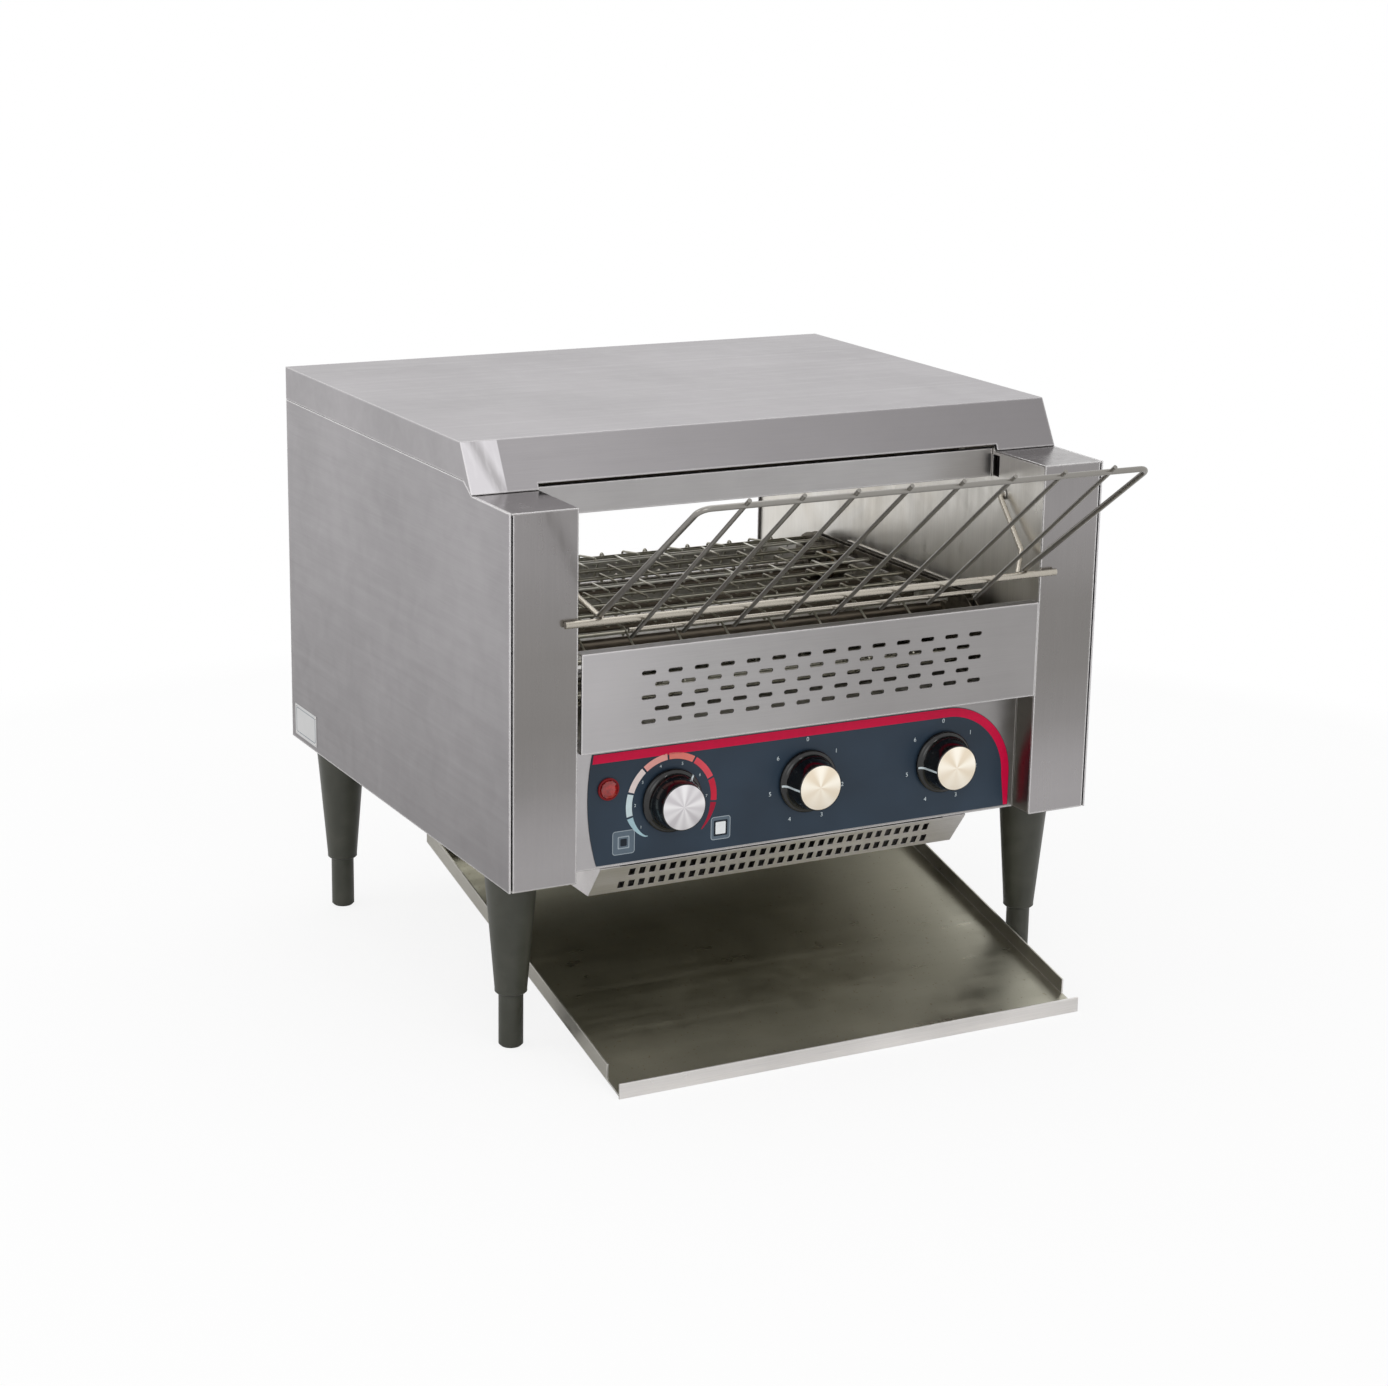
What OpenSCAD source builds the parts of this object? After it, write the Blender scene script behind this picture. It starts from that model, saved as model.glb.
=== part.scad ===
// Conveyor toaster: a wire belt carries bread under and over heating elements,
// and the toast drops down a chute onto a sloping tray at the front.
// Millimetres. +Z is up, +Y runs from the front to the back, and X = 0 is the middle.
// The origin lies on the table under the middle of the whole outline.
// Depths are measured back from the pillar faces, heights up from the body's underside.

/* [Body] */
// Width over the side panels
body_w = 470; // [456:1:500]
// Depth of the side panels, from the pillar faces to the rear
body_d = 418; // [410:1:440]
// Height from the underside to the top of the hood
body_h = 295; // [290:1:310]
// Height of the underside above the table
leg_h = 130; // [122:1:140]
// Width of each front pillar
pillar_w = 50; // [46:1:56]
// Drop from the top of the hood to the pillar shelves
shelf_drop = 33.5; // [31:0.5:36]
// Depth of the pillar shelves in front of the hood
shelf_d = 62; // [58:1:64]
// Depth taken up by the hood's sloping front
hood_slope_run = 19; // [15:1:24]
// Height of the hood's skirt at the sides and the rear
skirt_h = 25; // [20:1:27]
// Height of the relief in the hood's front edge between the pillars
hood_relief_h = 4; // [2:0.5:5]
// Thickness of the sheet steel
sheet = 1.2; // [1:0.1:1.5]
// Gap at the seams between casing pieces
seam = 0.4; // [0.3:0.05:0.6]
// Open groove between each side panel and its pillar face
corner_groove = 1.4; // [1:0.1:2]
// Depth of the return folds on the pillars, header and panels
fold_d = 10; // [6:1:14]

/* [Front] */
// Height of the control compartment
control_h = 91; // [88:1:96]
// Depth of the control panel behind the pillar faces
control_recess = 22; // [20:1:26]
// Height of the slotted vent panel
vent_panel_h = 70; // [64:1:74]
// Depth of the header behind the hood's front edge
header_gap = 7; // [6:0.5:10]
// How far the header reaches up behind the hood's front edge
header_tuck = 0.5; // [0:0.1:6]
// Height of the header plate
header_h = 20.9; // [18:0.1:27]
// Height of the notch that the inner walls leave at the header's ends
header_notch_h = 15.6; // [12:0.2:18]

/* [Vent panel slots] */
// Number of rows of slots
slot_rows = 5; // [3:1:6]
// Number of slots in the longest row
slot_count = 14; // [8:1:15]
// Spacing of the slots along a row
slot_pitch = 20.2; // [18:0.1:22]
// Spacing of the rows
slot_row_pitch = 8.6; // [7:0.1:9]
// Length of a slot
slot_len = 11; // [8:1:14]
// Height of a slot
slot_h = 3; // [2:0.5:4]

/* [Overlay, lamp and knobs] */
// Thickness of the printed overlay
overlay_t = 0.6; // [0.4:0.1:1]
// Left edge of the overlay at its widest
overlay_left = -166.4; // [-170:0.2:-162]
// Radius of the overlay's bowed left edge
overlay_arc_r = 168; // [120:1:400]
// Height of the left edge's widest place above the overlay's lower edge
overlay_arc_h = 48; // [30:1:60]
// Right edge of the overlay
overlay_right = 180.5; // [170:0.5:182]
// Height of the overlay's lower edge above the underside
overlay_low = 2; // [1:0.5:4]
// Height of the overlay
overlay_h = 81; // [78:1:84]
// Radius of the overlay's upper right corner
overlay_corner_r = 56; // [30:1:60]
// Place of the speed knob across the panel
speed_x = -102; // [-110:1:-98]
// Place of the upper element knob across the panel
upper_x = 7; // [0:1:14]
// Place of the lower element knob across the panel
lower_x = 121; // [112:1:124]
// Height of the knobs above the underside
knob_h = 43.2; // [40:0.2:46]
// Diameter of the knob skirts
knob_d = 46; // [40:1:48]
// Diameter of the knob grips at their base
grip_d = 38; // [34:1:40]
// Diameter of the metal caps
cap_d = 32.5; // [28:0.5:33]
// Thickness of the metal caps
cap_t = 1.2; // [0.8:0.1:1.6]
// Depth from the control panel to the front of the caps
knob_depth = 21; // [18:0.5:22]
// Diameter of the control spindles
spindle_d = 6; // [5:0.5:6.5]
// Place of the lamp across the panel
lamp_x = -151; // [-152:1:-142]
// Height of the lamp above the underside
lamp_h = 57.3; // [52:0.1:62]
// Diameter of the lamp lens
lamp_d = 16; // [12:1:16]
// Length of the lamp body behind the overlay
lamp_body_len = 18; // [14:1:24]
// How far the lamp lens stands out
lens_out = 4; // [3:0.5:6]
// Width and height of the housings behind the control panel
control_box = 36; // [30:1:38]
// Depth of the housings behind the control panel
control_box_d = 28; // [22:1:32]

/* [Lower grille and electronics] */
// Width of the lower grille
grille_w = 300; // [290:1:310]
// Place of the grille's middle across the body
grille_x = -6; // [-10:1:10]
// Drop of the grille below the underside
grille_drop = 25.5; // [22:0.5:27]
// Depth taken up by the grille's sloping front
grille_run = 19.5; // [15:0.5:24]
// Depth of the grille's flat underside
grille_floor = 108; // [96:1:116]
// Number of vents in the grille's lower row; the upper row has one fewer
vent_count = 32; // [20:1:33]
// Spacing of the vents
vent_pitch = 8.05; // [7.5:0.05:8.4]
// Place of the middle of the vents across the body
vents_x = -8; // [-10:0.5:-2]
// Width of a vent
vent_w = 4.6; // [3:0.1:5]
// Length of a vent along the slope
vent_len = 8.6; // [6:0.2:9]
// Sideways lean of a vent over its length
vent_lean = -1.2; // [-3:0.2:3]
// Spacing of the two rows of vents
vent_row_pitch = 15; // [11:0.5:16]
// Depth of the electronics compartment behind the pillar faces
electronics_d = 236; // [230:1:242]
// Height of the compartment's cover below the vent panel's edge
shield_gap = 3; // [2:0.5:5]
// Width of the cooling fan's square frame
fan_w = 80; // [70:1:84]
// Thickness of the cooling fan
fan_t = 25; // [20:1:28]
// Depth of the fan's middle behind the pillar faces
fan_at = 105; // [100:1:106]
// Number of fan blades
fan_blades = 7; // [5:1:9]
// Width of a fan blade
blade_w = 18; // [14:1:20]
// Thickness of a fan blade
blade_t = 1.6; // [1:0.1:2]

/* [Conveyor] */
// Pitch of the belt chains
chain_pitch = 12.7; // [12:0.1:12.8]
// Links between the two shafts
belt_links = 17; // [15:1:17]
// Teeth on each belt sprocket
belt_teeth = 12; // [12:1:12]
// Depth of the idler shaft behind the pillar faces
idler_at = 84; // [80:1:88]
// Height of the two shafts above the underside
shaft_h = 125.5; // [123:0.5:130]
// Diameter of the shafts
shaft_d = 12; // [10:1:12]
// Diameter of the belt rods
rod_d = 3.2; // [2.5:0.1:4]
// Distance from each inner wall to the middle of its belt chain
chain_inset = 13; // [12:0.5:16]
// Width of a sprocket tooth and wheel
wheel_t = 4; // [3:0.5:5]
// Thickness of a chain side plate
link_t = 1; // [0.8:0.1:1.4]
// Height of a chain side plate
link_h = 7; // [6:0.5:8]
// Outer diameter of the shaft bushes
bush_d = 22; // [20:1:24]
// Thickness of the rails under the belt's upper run
rail_t = 1.5; // [1.2:0.1:2]

/* [Belt drive] */
// Pitch of the drive chain
drive_pitch = 9.525; // [9:0.025:9.6]
// Teeth on the motor wheel
motor_teeth = 12; // [12:1:12]
// Teeth on the drive shaft's wheel
driven_teeth = 24; // [24:1:24]
// Distance from the inner wall to the drive chain's middle
drive_inset = 20; // [18:0.5:24]
// Gap between the gear case and the rear wall of the electronics compartment
motor_back_gap = 3; // [2:0.5:6]
// Height of the motor's output shaft above the underside
motor_h = 45; // [44:1:48]
// Diameter of the motor's output shaft
motor_shaft_d = 10; // [8:1:10]
// Width of the gear case across the body
gear_case_w = 46; // [40:1:50]
// Depth of the gear case
gear_case_d = 66; // [60:1:68]
// Height of the gear case
gear_case_h = 70; // [60:1:72]
// Diameter of the motor
motor_d = 56; // [48:1:60]
// Length of the motor
motor_len = 70; // [60:1:80]

/* [Heating] */
// Diameter of a heating element
element_d = 8; // [6:0.5:9]
// Number of upper elements
upper_count = 5; // [3:1:6]
// Drop from the top of the hood to the upper elements
upper_drop = 43; // [41:0.5:45]
// Depth of the first upper element
upper_first = 112; // [108:1:120]
// Depth of the last upper element
upper_last = 300; // [280:1:320]
// Number of lower elements
lower_count = 4; // [2:1:5]
// Height of the lower elements above the drive shaft
lower_rise = 6.5; // [5:0.5:7]
// Outer diameter of the ceramic insulators
insulator_d = 14; // [13:0.5:15]
// Length that an insulator stands out from each face of the wall
insulator_out = 3; // [2:0.5:4]
// How far the elements end beyond the inner walls
element_out = 14; // [10:1:18]
// Height of the upper reflector above the upper elements
reflector_rise = 9; // [8.5:0.5:11]
// Depth of the lower reflector below the shafts
lower_reflector_drop = 11.5; // [11:0.5:13]

/* [Loading rack] */
// Slope of the rack's side bars
rack_slope = 35.4; // [33:0.2:38]
// Length of the side bars from the top bar to the rest bar
rack_len = 173; // [160:1:180]
// Distance from the rest bar to the lower bar, along the wires
rack_tail = 17.5; // [16:0.5:20]
// Length of the wires past the lower bar
wire_tip = 6.5; // [4:0.5:7]
// Length of the wires past the top bar
wire_stub = 5; // [3:0.5:8]
// Width of the rack between its side bars
rack_w = 340; // [330:1:342]
// Number of wires between the side bars
rack_wires_n = 8; // [5:1:8]
// Spacing of the wires
rack_wire_pitch = 39.5; // [34:0.5:42]
// Diameter of the frame and hook arms
frame_wire_d = 4; // [3.5:0.5:4.5]
// Diameter of the wires and the lower bar
thin_wire_d = 3; // [2.5:0.5:3.5]
// Diameter of the rest bar
rest_bar_d = 5; // [4:0.5:5.5]
// Length of the rest bar
rest_bar_len = 392; // [384:1:410]
// Height of the rest bar above the vent panel
rest_rise = 22.5; // [20:0.5:25]
// Length of the lower bar
lower_bar_len = 284; // [280:1:310]
// Radius of the frame's upper corners
rack_corner_r = 8; // [5:1:30]
// Depth of the rack's pivot behind the pillar faces
pivot_at = 52; // [48:1:56]
// Drop from the pillar shelves to the rack's pivot
pivot_drop = 30; // [27:0.5:33]
// Gap between the rest bar and the pillar faces
rest_gap = 0.3; // [0.2:0.05:0.4]

/* [Tray and chute] */
// Width of the toast tray
tray_w = 373; // [368:0.5:373]
// How far the tray's lip stands in front of the pillar faces
tray_reach = 72.5; // [60:0.5:80]
// Depth of the tray's rear edge behind the pillar faces
tray_rear = 260; // [256:1:266]
// Drop from the underside to the tray's rear edge
tray_hang = 48.4; // [46:0.2:50]
// Height of the tray's side flanges
flange_h = 12; // [10:0.5:13]
// Distance from the lip to the front end of the flanges
flange_stop = 19.5; // [14:0.5:24]
// Height of the tray's lip
lip_h = 11; // [9:0.5:12]
// Height of the pan's front edge above the table
pan_lift = 1.4; // [1:0.1:2]
// Width of the hooks under the chute that carry the tray's rear end
hook_w = 20; // [12:1:30]
// Reach of the hooks in under the tray
hook_reach = 12; // [8:1:16]
// Distance from the side of the tray to each hook
hook_inset = 16; // [10:1:40]
// Slope of the chute's straight part
chute_slope = 18; // [15:1:20]
// Radius of the chute's bend
chute_r = 90; // [80:1:94]
// Overlap of the chute over the tray
chute_overlap = 16; // [12:1:20]
// Height of the chute's lip above the tray
chute_gap = 13; // [11:0.5:15]
// Height of the rear panel below its opening
rear_sill_h = 118; // [112:1:124]

/* [Legs and feet] */
// Distance from the side of the body to a leg's axis
leg_inset_x = 22.5; // [21:0.5:24]
// Distance from the front or rear of the body to a leg's axis
leg_inset_y = 47; // [44:1:52]
// Diameter of a leg at its top
leg_top_d = 37; // [34:1:38]
// Diameter of a leg at its lower end
leg_low_d = 23; // [22:0.5:26]
// Height of a leg's lower end above the table
leg_end_h = 40; // [36:1:44]
// Diameter of a foot
foot_d = 17.5; // [15:0.5:18]
// Length of a foot inside its leg
foot_inside = 40; // [34:1:44]
// Diameter of the stud that holds a leg
stud_d = 8; // [6:0.5:8]

/* [Rear and small parts] */
// Number of vents on each side of the rear opening
rear_vent_count = 10; // [6:1:11]
// Spacing of the rear vents
rear_vent_pitch = 11; // [9:0.5:12]
// Length of a rear vent
rear_vent_len = 24; // [18:1:30]
// Height of a rear vent
rear_vent_h = 4; // [3:0.5:5]
// Width of the rear panel's edge beside each tunnel wall
rear_reveal = 2; // [1:0.5:4]
// Distance from the side of the body to the cover screws
screw_inset = 12; // [10:0.5:14]
// Distance from the edges of the rear panel to the screws and the opening
rear_margin = 14; // [12:1:16]
// How far the cable gland stands out at the rear
gland_out = 12; // [8:1:16]
// Diameter of the cable gland
gland_d = 22; // [18:1:24]
// Diameter of the cable gland's bore
gland_bore_d = 9; // [7:0.5:10]
// Height of the gland above the underside
gland_h = 34; // [30:1:40]
// Length of the rating plate
plate_len = 46; // [40:1:50]
// Height of the rating plate
plate_h = 25; // [20:1:28]
// Thickness of the rating plate
plate_t = 0.3; // [0.2:0.1:0.5]
// Diameter of the cover screws
screw_d = 4; // [3:0.5:4]

/* [Clearances] */
// Radial clearance of a shaft in its hole
running = 0.05; // [0.02:0.01:0.09]
// Radial clearance of a foot in its leg
sliding = 0.08; // [0.05:0.01:0.1]
// Gap between pieces that seat on each other
seat = 0.3; // [0.2:0.05:0.35]

/* [Hidden] */
$fn = 64;

steel = "#b6b3b4";
dark_steel = "#5a5a52";
black = "#1c1d1c";
half_w = body_w / 2;
inner_x = half_w - pillar_w;          // inner face of each inner wall
shelf_h = body_h - shelf_drop;
hood_front_h = shelf_h + seam;        // lower edge of the hood's front
crease_d = shelf_d + hood_slope_run;  // fold between the hood's top and its slope
rear_d = body_d - sheet - seam;       // outer face of the rear panel
sill_h = control_h + vent_panel_h;    // top of the vent panel
header_setback = shelf_d + header_gap;
header_top_h = hood_front_h + header_tuck;
mouth_top_h = header_top_h - header_h; // lower edge of the header
upper_h = body_h - upper_drop;

// Loading rack, in depth and height
pivot_h = shelf_h - pivot_drop;
rest_bar_h = sill_h + rest_rise;
bar_at = -(rest_bar_d / 2 + rest_gap);
weld = 0.15;
wire_rise = (thin_wire_d + rest_bar_d) / 2 - weld;
wire_dip = atan(2 * wire_rise / rack_len); // the wires pass under the rest bar, the side bars over it
wire_slope = rack_slope + wire_dip;
rack_top_at = bar_at - rack_len * cos(rack_slope) + wire_rise * sin(rack_slope);
rack_top_h = rest_bar_h + rack_len * sin(rack_slope) + wire_rise * cos(rack_slope);

// Overall outline: the front reach and the gland behind set the place of the body
stub_len = frame_wire_d / 2 - weld + wire_stub; // from the top bar's axis to the wires' ends
rack_reach = stub_len * cos(wire_slope) + thin_wire_d / 2 * sin(wire_slope) - rack_top_at;
front_reach = max(rack_reach, tray_reach);
front_y = (front_reach - rear_d - gland_out) / 2;
base_z = leg_h;

// Belt
pitch_r = chain_pitch / (2 * sin(180 / belt_teeth));
drive_at = idler_at + belt_links * chain_pitch;
chain_x = inner_x - chain_inset;
link_gap = wheel_t + 1;               // clear width between a chain's side plates
link_out = link_gap / 2 + link_t;     // half of a chain's whole width
tooth_h = 3;
sprocket_r = pitch_r + tooth_h;
arc_links = belt_teeth / 2;
rail_h = shaft_h + pitch_r - link_h / 2 - seat;

// Belt drive
motor_at = electronics_d - motor_back_gap - gear_case_d / 2;
motor_r = drive_pitch / (2 * sin(180 / motor_teeth));
driven_r = drive_pitch / (2 * sin(180 / driven_teeth));
drive_tooth_h = 2.4;
drive_x = inner_x + sheet + drive_inset;

// Elements
lower_h = shaft_h + lower_rise;
element_margin = sprocket_r + insulator_d / 2 + 2;
lower_first = idler_at + element_margin;
lower_last = drive_at - element_margin;

// Toast tray and chute
lip_at = -tray_reach;
pan_run = tray_rear - lip_at;
pan_front_h = pan_lift - base_z;
pan_tan = (-tray_hang - pan_front_h) / pan_run;
function pan_h(d) = pan_front_h + pan_tan * (d - lip_at);  // underside of the pan
chute_back = rear_d - sheet - seat;
chute_lip_at = tray_rear - chute_overlap;
bend_at = chute_back - chute_r;
bend_end_at = bend_at + chute_r * sin(chute_slope);
chute_lip_h = pan_h(tray_rear) + chute_gap;
chute_rise = (bend_end_at - chute_lip_at) * tan(chute_slope);
bend_h = chute_lip_h + chute_rise + chute_r * cos(chute_slope);

// Electronics
floor_h = sheet + seam;               // underside of the electronics floor
shield_h = control_h - shield_gap;
fan_h = floor_h + sheet + 0.1;
fan_r = fan_w / 2 - 2.5;

// ---------- helpers ----------

// A side-view outline of depth and height, extruded from x0 to x1
module side_plate(x0, x1) {
  translate([x0, front_y, base_z]) rotate([90, 0, 90]) linear_extrude(x1 - x0) children();
}

// A front-view outline of width and height, extruded back from depth d0 to d1
module front_plate(d0, d1) {
  translate([0, front_y + d1, base_z]) rotate([90, 0, 0]) linear_extrude(d1 - d0) children();
}

// A box between two x values, two depths and two heights
module block(x, d, h) {
  translate([x[0], front_y + d[0], base_z + h[0]]) cube([x[1] - x[0], d[1] - d[0], h[1] - h[0]]);
}

// A round bar along X
module x_bar(x, d, h, r) {
  translate([x[0], front_y + d, base_z + h]) rotate([0, 90, 0]) cylinder(h = x[1] - x[0], r = r);
}

// A round bar along Y
module y_bar(x, d, h, r) {
  translate([x, front_y + d[1], base_z + h]) rotate([90, 0, 0]) cylinder(h = d[1] - d[0], r = r);
}

// A round bar between two points of x, depth and height
module wire(a, b, r) {
  v = b - a;
  translate([a[0], front_y + a[1], base_z + a[2]])
    rotate([0, acos(v[2] / norm(v)), atan2(v[1], v[0])]) cylinder(h = norm(v), r = r);
}

// A flat stadium, length by height, about the origin
module stadium(len, h) {
  square([len - h, h], center = true);
  for (s = [-1, 1]) translate([s * (len - h) / 2, 0]) circle(d = h);
}

// A slot leaning sideways over its length
module slanted_slot(w, len, lean) {
  polygon([[(lean - w) / 2, -len / 2], [(lean + w) / 2, -len / 2],
           [(w - lean) / 2, len / 2], [(-w - lean) / 2, len / 2]]);
}

// Two circles and the region between their outer tangents
module loop_region(a, b, ra, rb) {
  along = atan2(b[1] - a[1], b[0] - a[0]);
  lean = acos((ra - rb) / norm(b - a));
  up = [cos(along + lean), sin(along + lean)];
  down = [cos(along - lean), sin(along - lean)];
  translate(a) circle(r = ra);
  translate(b) circle(r = rb);
  polygon([a + ra * up, b + rb * up, b + rb * down, a + ra * down]);
}

// The outline of chain side plates that run round two wheels
module chain_outline(a, b, ra, rb) {
  difference() {
    loop_region(a, b, ra + link_h / 2, rb + link_h / 2);
    loop_region(a, b, ra - link_h / 2, rb - link_h / 2);
  }
}

// A chain round two wheels: two side plates, and pins on the straight runs clear of the teeth
module chain(x, a, b, ra, rb, pitch, clear_a, clear_b) {
  along = atan2(b[1] - a[1], b[0] - a[0]);
  lean = acos((ra - rb) / norm(b - a));
  run = norm(b - a) * sin(lean);
  side_plate(x - link_out, x - link_gap / 2) chain_outline(a, b, ra, rb);
  side_plate(x + link_gap / 2, x + link_out) chain_outline(a, b, ra, rb);
  for (s = [-1, 1])
    for (i = [0 : floor(run / pitch)]) {
      n = [cos(along + s * lean), sin(along + s * lean)];
      p = a + ra * n + i * pitch * (b + rb * n - a - ra * n) / run;
      if (norm(p - a) > clear_a && norm(p - b) > clear_b)
        x_bar([x - link_out, x + link_out], p[0], p[1], pitch / 6);
    }
}

// A chain wheel about the origin, with its bore
module wheel_outline(teeth, r, tooth, bore_r) {
  root = r - tooth;
  base = PI * r / teeth * 0.55;
  difference() {
    union() {
      circle(r = root);
      for (i = [0 : teeth - 1])
        rotate(i * 360 / teeth) polygon([[0, -base], [root, -base], [r + tooth, -base / 3],
                                        [r + tooth, base / 3], [root, base], [0, base]]);
    }
    circle(r = bore_r);
  }
}

// ---------- casing ----------

module hood() {
  edge = sheet / sin(atan2(body_h - hood_front_h, hood_slope_run));
  slope_cot = hood_slope_run / (body_h - hood_front_h);
  tip_d = shelf_d + hood_slope_run * 0.7;
  inner_h = body_h - sheet;
  color(steel) difference() {
    union() {
      side_plate(-half_w, half_w) polygon([
        [shelf_d, hood_front_h], [crease_d, body_h], [body_d, body_h], [body_d, body_h - skirt_h],
        [body_d - sheet, body_h - skirt_h], [body_d - sheet, inner_h],
        [shelf_d + edge + (inner_h - hood_front_h) * slope_cot, inner_h],
        [shelf_d + edge, hood_front_h]]);
      for (x = [-half_w, half_w - sheet])
        side_plate(x, x + sheet) polygon([
          [shelf_d, hood_front_h], [crease_d, body_h], [body_d, body_h],
          [body_d, body_h - skirt_h], [tip_d, body_h - skirt_h]]);
    }
    block([-inner_x, inner_x], [shelf_d - 1, shelf_d + hood_slope_run / 2],
          [hood_front_h - 1, hood_front_h + hood_relief_h]);
  }
}

// Places of the cover screws on one side: distance from the middle, and height
screw_x = half_w - screw_inset;
screw_heights = [rear_margin, body_h / 2, body_h - skirt_h - rear_margin];

module side_panel(side) {
  tip_d = shelf_d + hood_slope_run * 0.7;
  flange_top = body_h - skirt_h - seam;
  color(steel) mirror([side < 0 ? 1 : 0, 0, 0]) difference() {
    union() {
      side_plate(half_w - sheet, half_w) polygon([
        [0, 0], [0, shelf_h], [shelf_d, shelf_h], [tip_d, flange_top], [body_d, flange_top], [body_d, 0]]);
      block([screw_x - 1.5 * screw_d, half_w - sheet / 2], [chute_back - sheet, chute_back],
            [fold_d + seam, flange_top]);
    }
    for (h = screw_heights)
      y_bar(screw_x, [chute_back - sheet - 1, chute_back + 1], h, screw_d / 2 + running);
  }
}
module left_side_panel() { side_panel(-1); }
module right_side_panel() { side_panel(1); }

module pillar(side) {
  face_out = half_w - sheet - corner_groove;
  shelf_out = half_w - sheet - seam;
  color(steel) mirror([side < 0 ? 1 : 0, 0, 0]) {
    block([inner_x, face_out], [0, sheet], [0, shelf_h]);
    block([face_out - sheet, face_out], [0, fold_d], [0, shelf_h]);
    block([inner_x, shelf_out], [0, shelf_d + 2], [shelf_h - sheet, shelf_h]);
  }
}
module left_pillar() { pillar(-1); }
module right_pillar() { pillar(1); }

// Places of the elements: depths of the upper and the lower row
function spread(first, last, n) = [for (i = [0 : n - 1]) first + (last - first) * i / (n - 1)];
upper_row = spread(upper_first, upper_last, upper_count);
lower_row = spread(lower_first, lower_last, lower_count);

module inner_wall(side) {
  wall_front = sheet + seam / 2;
  wall_top = body_h - sheet - 2;
  low_top = shelf_h - sheet - seam / 2;
  mirrored = side < 0 ? 1 : 0;
  color(steel) mirror([mirrored, 0, 0]) difference() {
    side_plate(inner_x, inner_x + sheet) difference() {
      polygon([
        [wall_front, seam], [wall_front, low_top], [shelf_d + 3, low_top],
        [crease_d + 4, wall_top], [chute_back, wall_top], [chute_back, seam]]);
      translate([idler_at, shaft_h]) circle(d = bush_d + 2 * running);
      translate([drive_at, shaft_h]) circle(d = bush_d + 2 * running);
      for (d = upper_row) translate([d, upper_h]) circle(d = insulator_d + 2 * running);
      for (d = lower_row) translate([d, lower_h]) circle(d = insulator_d + 2 * running);
      translate([pivot_at, pivot_h]) circle(d = frame_wire_d + 2 * running);
      translate([header_setback - fold_d, mouth_top_h + 1]) square([fold_d - 1, header_notch_h]);
    }
    if (side > 0) x_bar([inner_x - 1, inner_x + sheet + 1], motor_at, motor_h, motor_shaft_d / 2 + 3);
  }
}
module left_inner_wall() { inner_wall(-1); }
module right_inner_wall() { inner_wall(1); }

module front_header() {
  x = inner_x - seat;
  color(steel) side_plate(-x, x) polygon([
    [header_setback, mouth_top_h], [header_setback, header_top_h],
    [header_setback + fold_d / 2, header_top_h],
    [header_setback + fold_d / 2, header_top_h - sheet],
    [header_setback + sheet, header_top_h - sheet],
    [header_setback + sheet, mouth_top_h + sheet],
    [header_setback + fold_d, mouth_top_h + sheet], [header_setback + fold_d, mouth_top_h]]);
}

// The vent panel stands between the pillars, with a wider gap on its left
vent_left = -inner_x + 3.2;
vent_right = inner_x - seat;
module vent_panel() {
  color(steel) {
    front_plate(0, sheet) difference() {
      translate([vent_left, control_h]) square([vent_right - vent_left, vent_panel_h]);
      for (row = [0 : slot_rows - 1]) {
        short = row % 2;
        n = slot_count - short;
        for (i = [0 : n - 1])
          translate([(i - (n - 1) / 2) * slot_pitch,
                     control_h + vent_panel_h / 2 + (row - (slot_rows - 1) / 2) * slot_row_pitch])
            stadium(slot_len, slot_h);
      }
    }
    block([vent_left, vent_right], [0, fold_d], [sill_h - sheet, sill_h]);
    block([vent_left, vent_right], [0, control_recess + fold_d], [control_h, control_h + sheet]);
  }
}

knob_places = [speed_x, upper_x, lower_x];
panel_hole = spindle_d + 4;
module control_panel() {
  x = inner_x - seat;
  color(steel) difference() {
    union() {
      block([-x, x], [control_recess, control_recess + sheet], [0, control_h - seam]);
      block([-x, x], [control_recess, control_recess + fold_d], [0, sheet]);
    }
    for (k = knob_places) y_bar(k, [control_recess - 1, control_recess + sheet + 1], knob_h, panel_hole / 2);
    y_bar(lamp_x, [control_recess - 1, control_recess + sheet + 1], lamp_h, lamp_d / 2 - 1);
  }
}

module control_overlay() {
  top = overlay_low + overlay_h;
  r = overlay_corner_r;
  color("#33404c") front_plate(control_recess - overlay_t, control_recess) difference() {
    union() {
      intersection() {
        translate([overlay_left, overlay_low]) square([overlay_right - r - overlay_left, overlay_h]);
        translate([overlay_left + overlay_arc_r, overlay_low + overlay_arc_h])
          circle(r = overlay_arc_r, $fn = 360);
      }
      translate([overlay_right - r - 1, overlay_low]) square([r + 1, overlay_h - r]);
      intersection() {
        translate([overlay_right - r, top - r]) circle(r = r, $fn = 128);
        translate([overlay_right - r - 1, top - r - 1]) square(r + 2);
      }
    }
    for (k = knob_places) translate([k, knob_h]) circle(d = panel_hole);
    translate([lamp_x, lamp_h]) circle(r = lamp_d / 2 - 1);
  }
}

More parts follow.
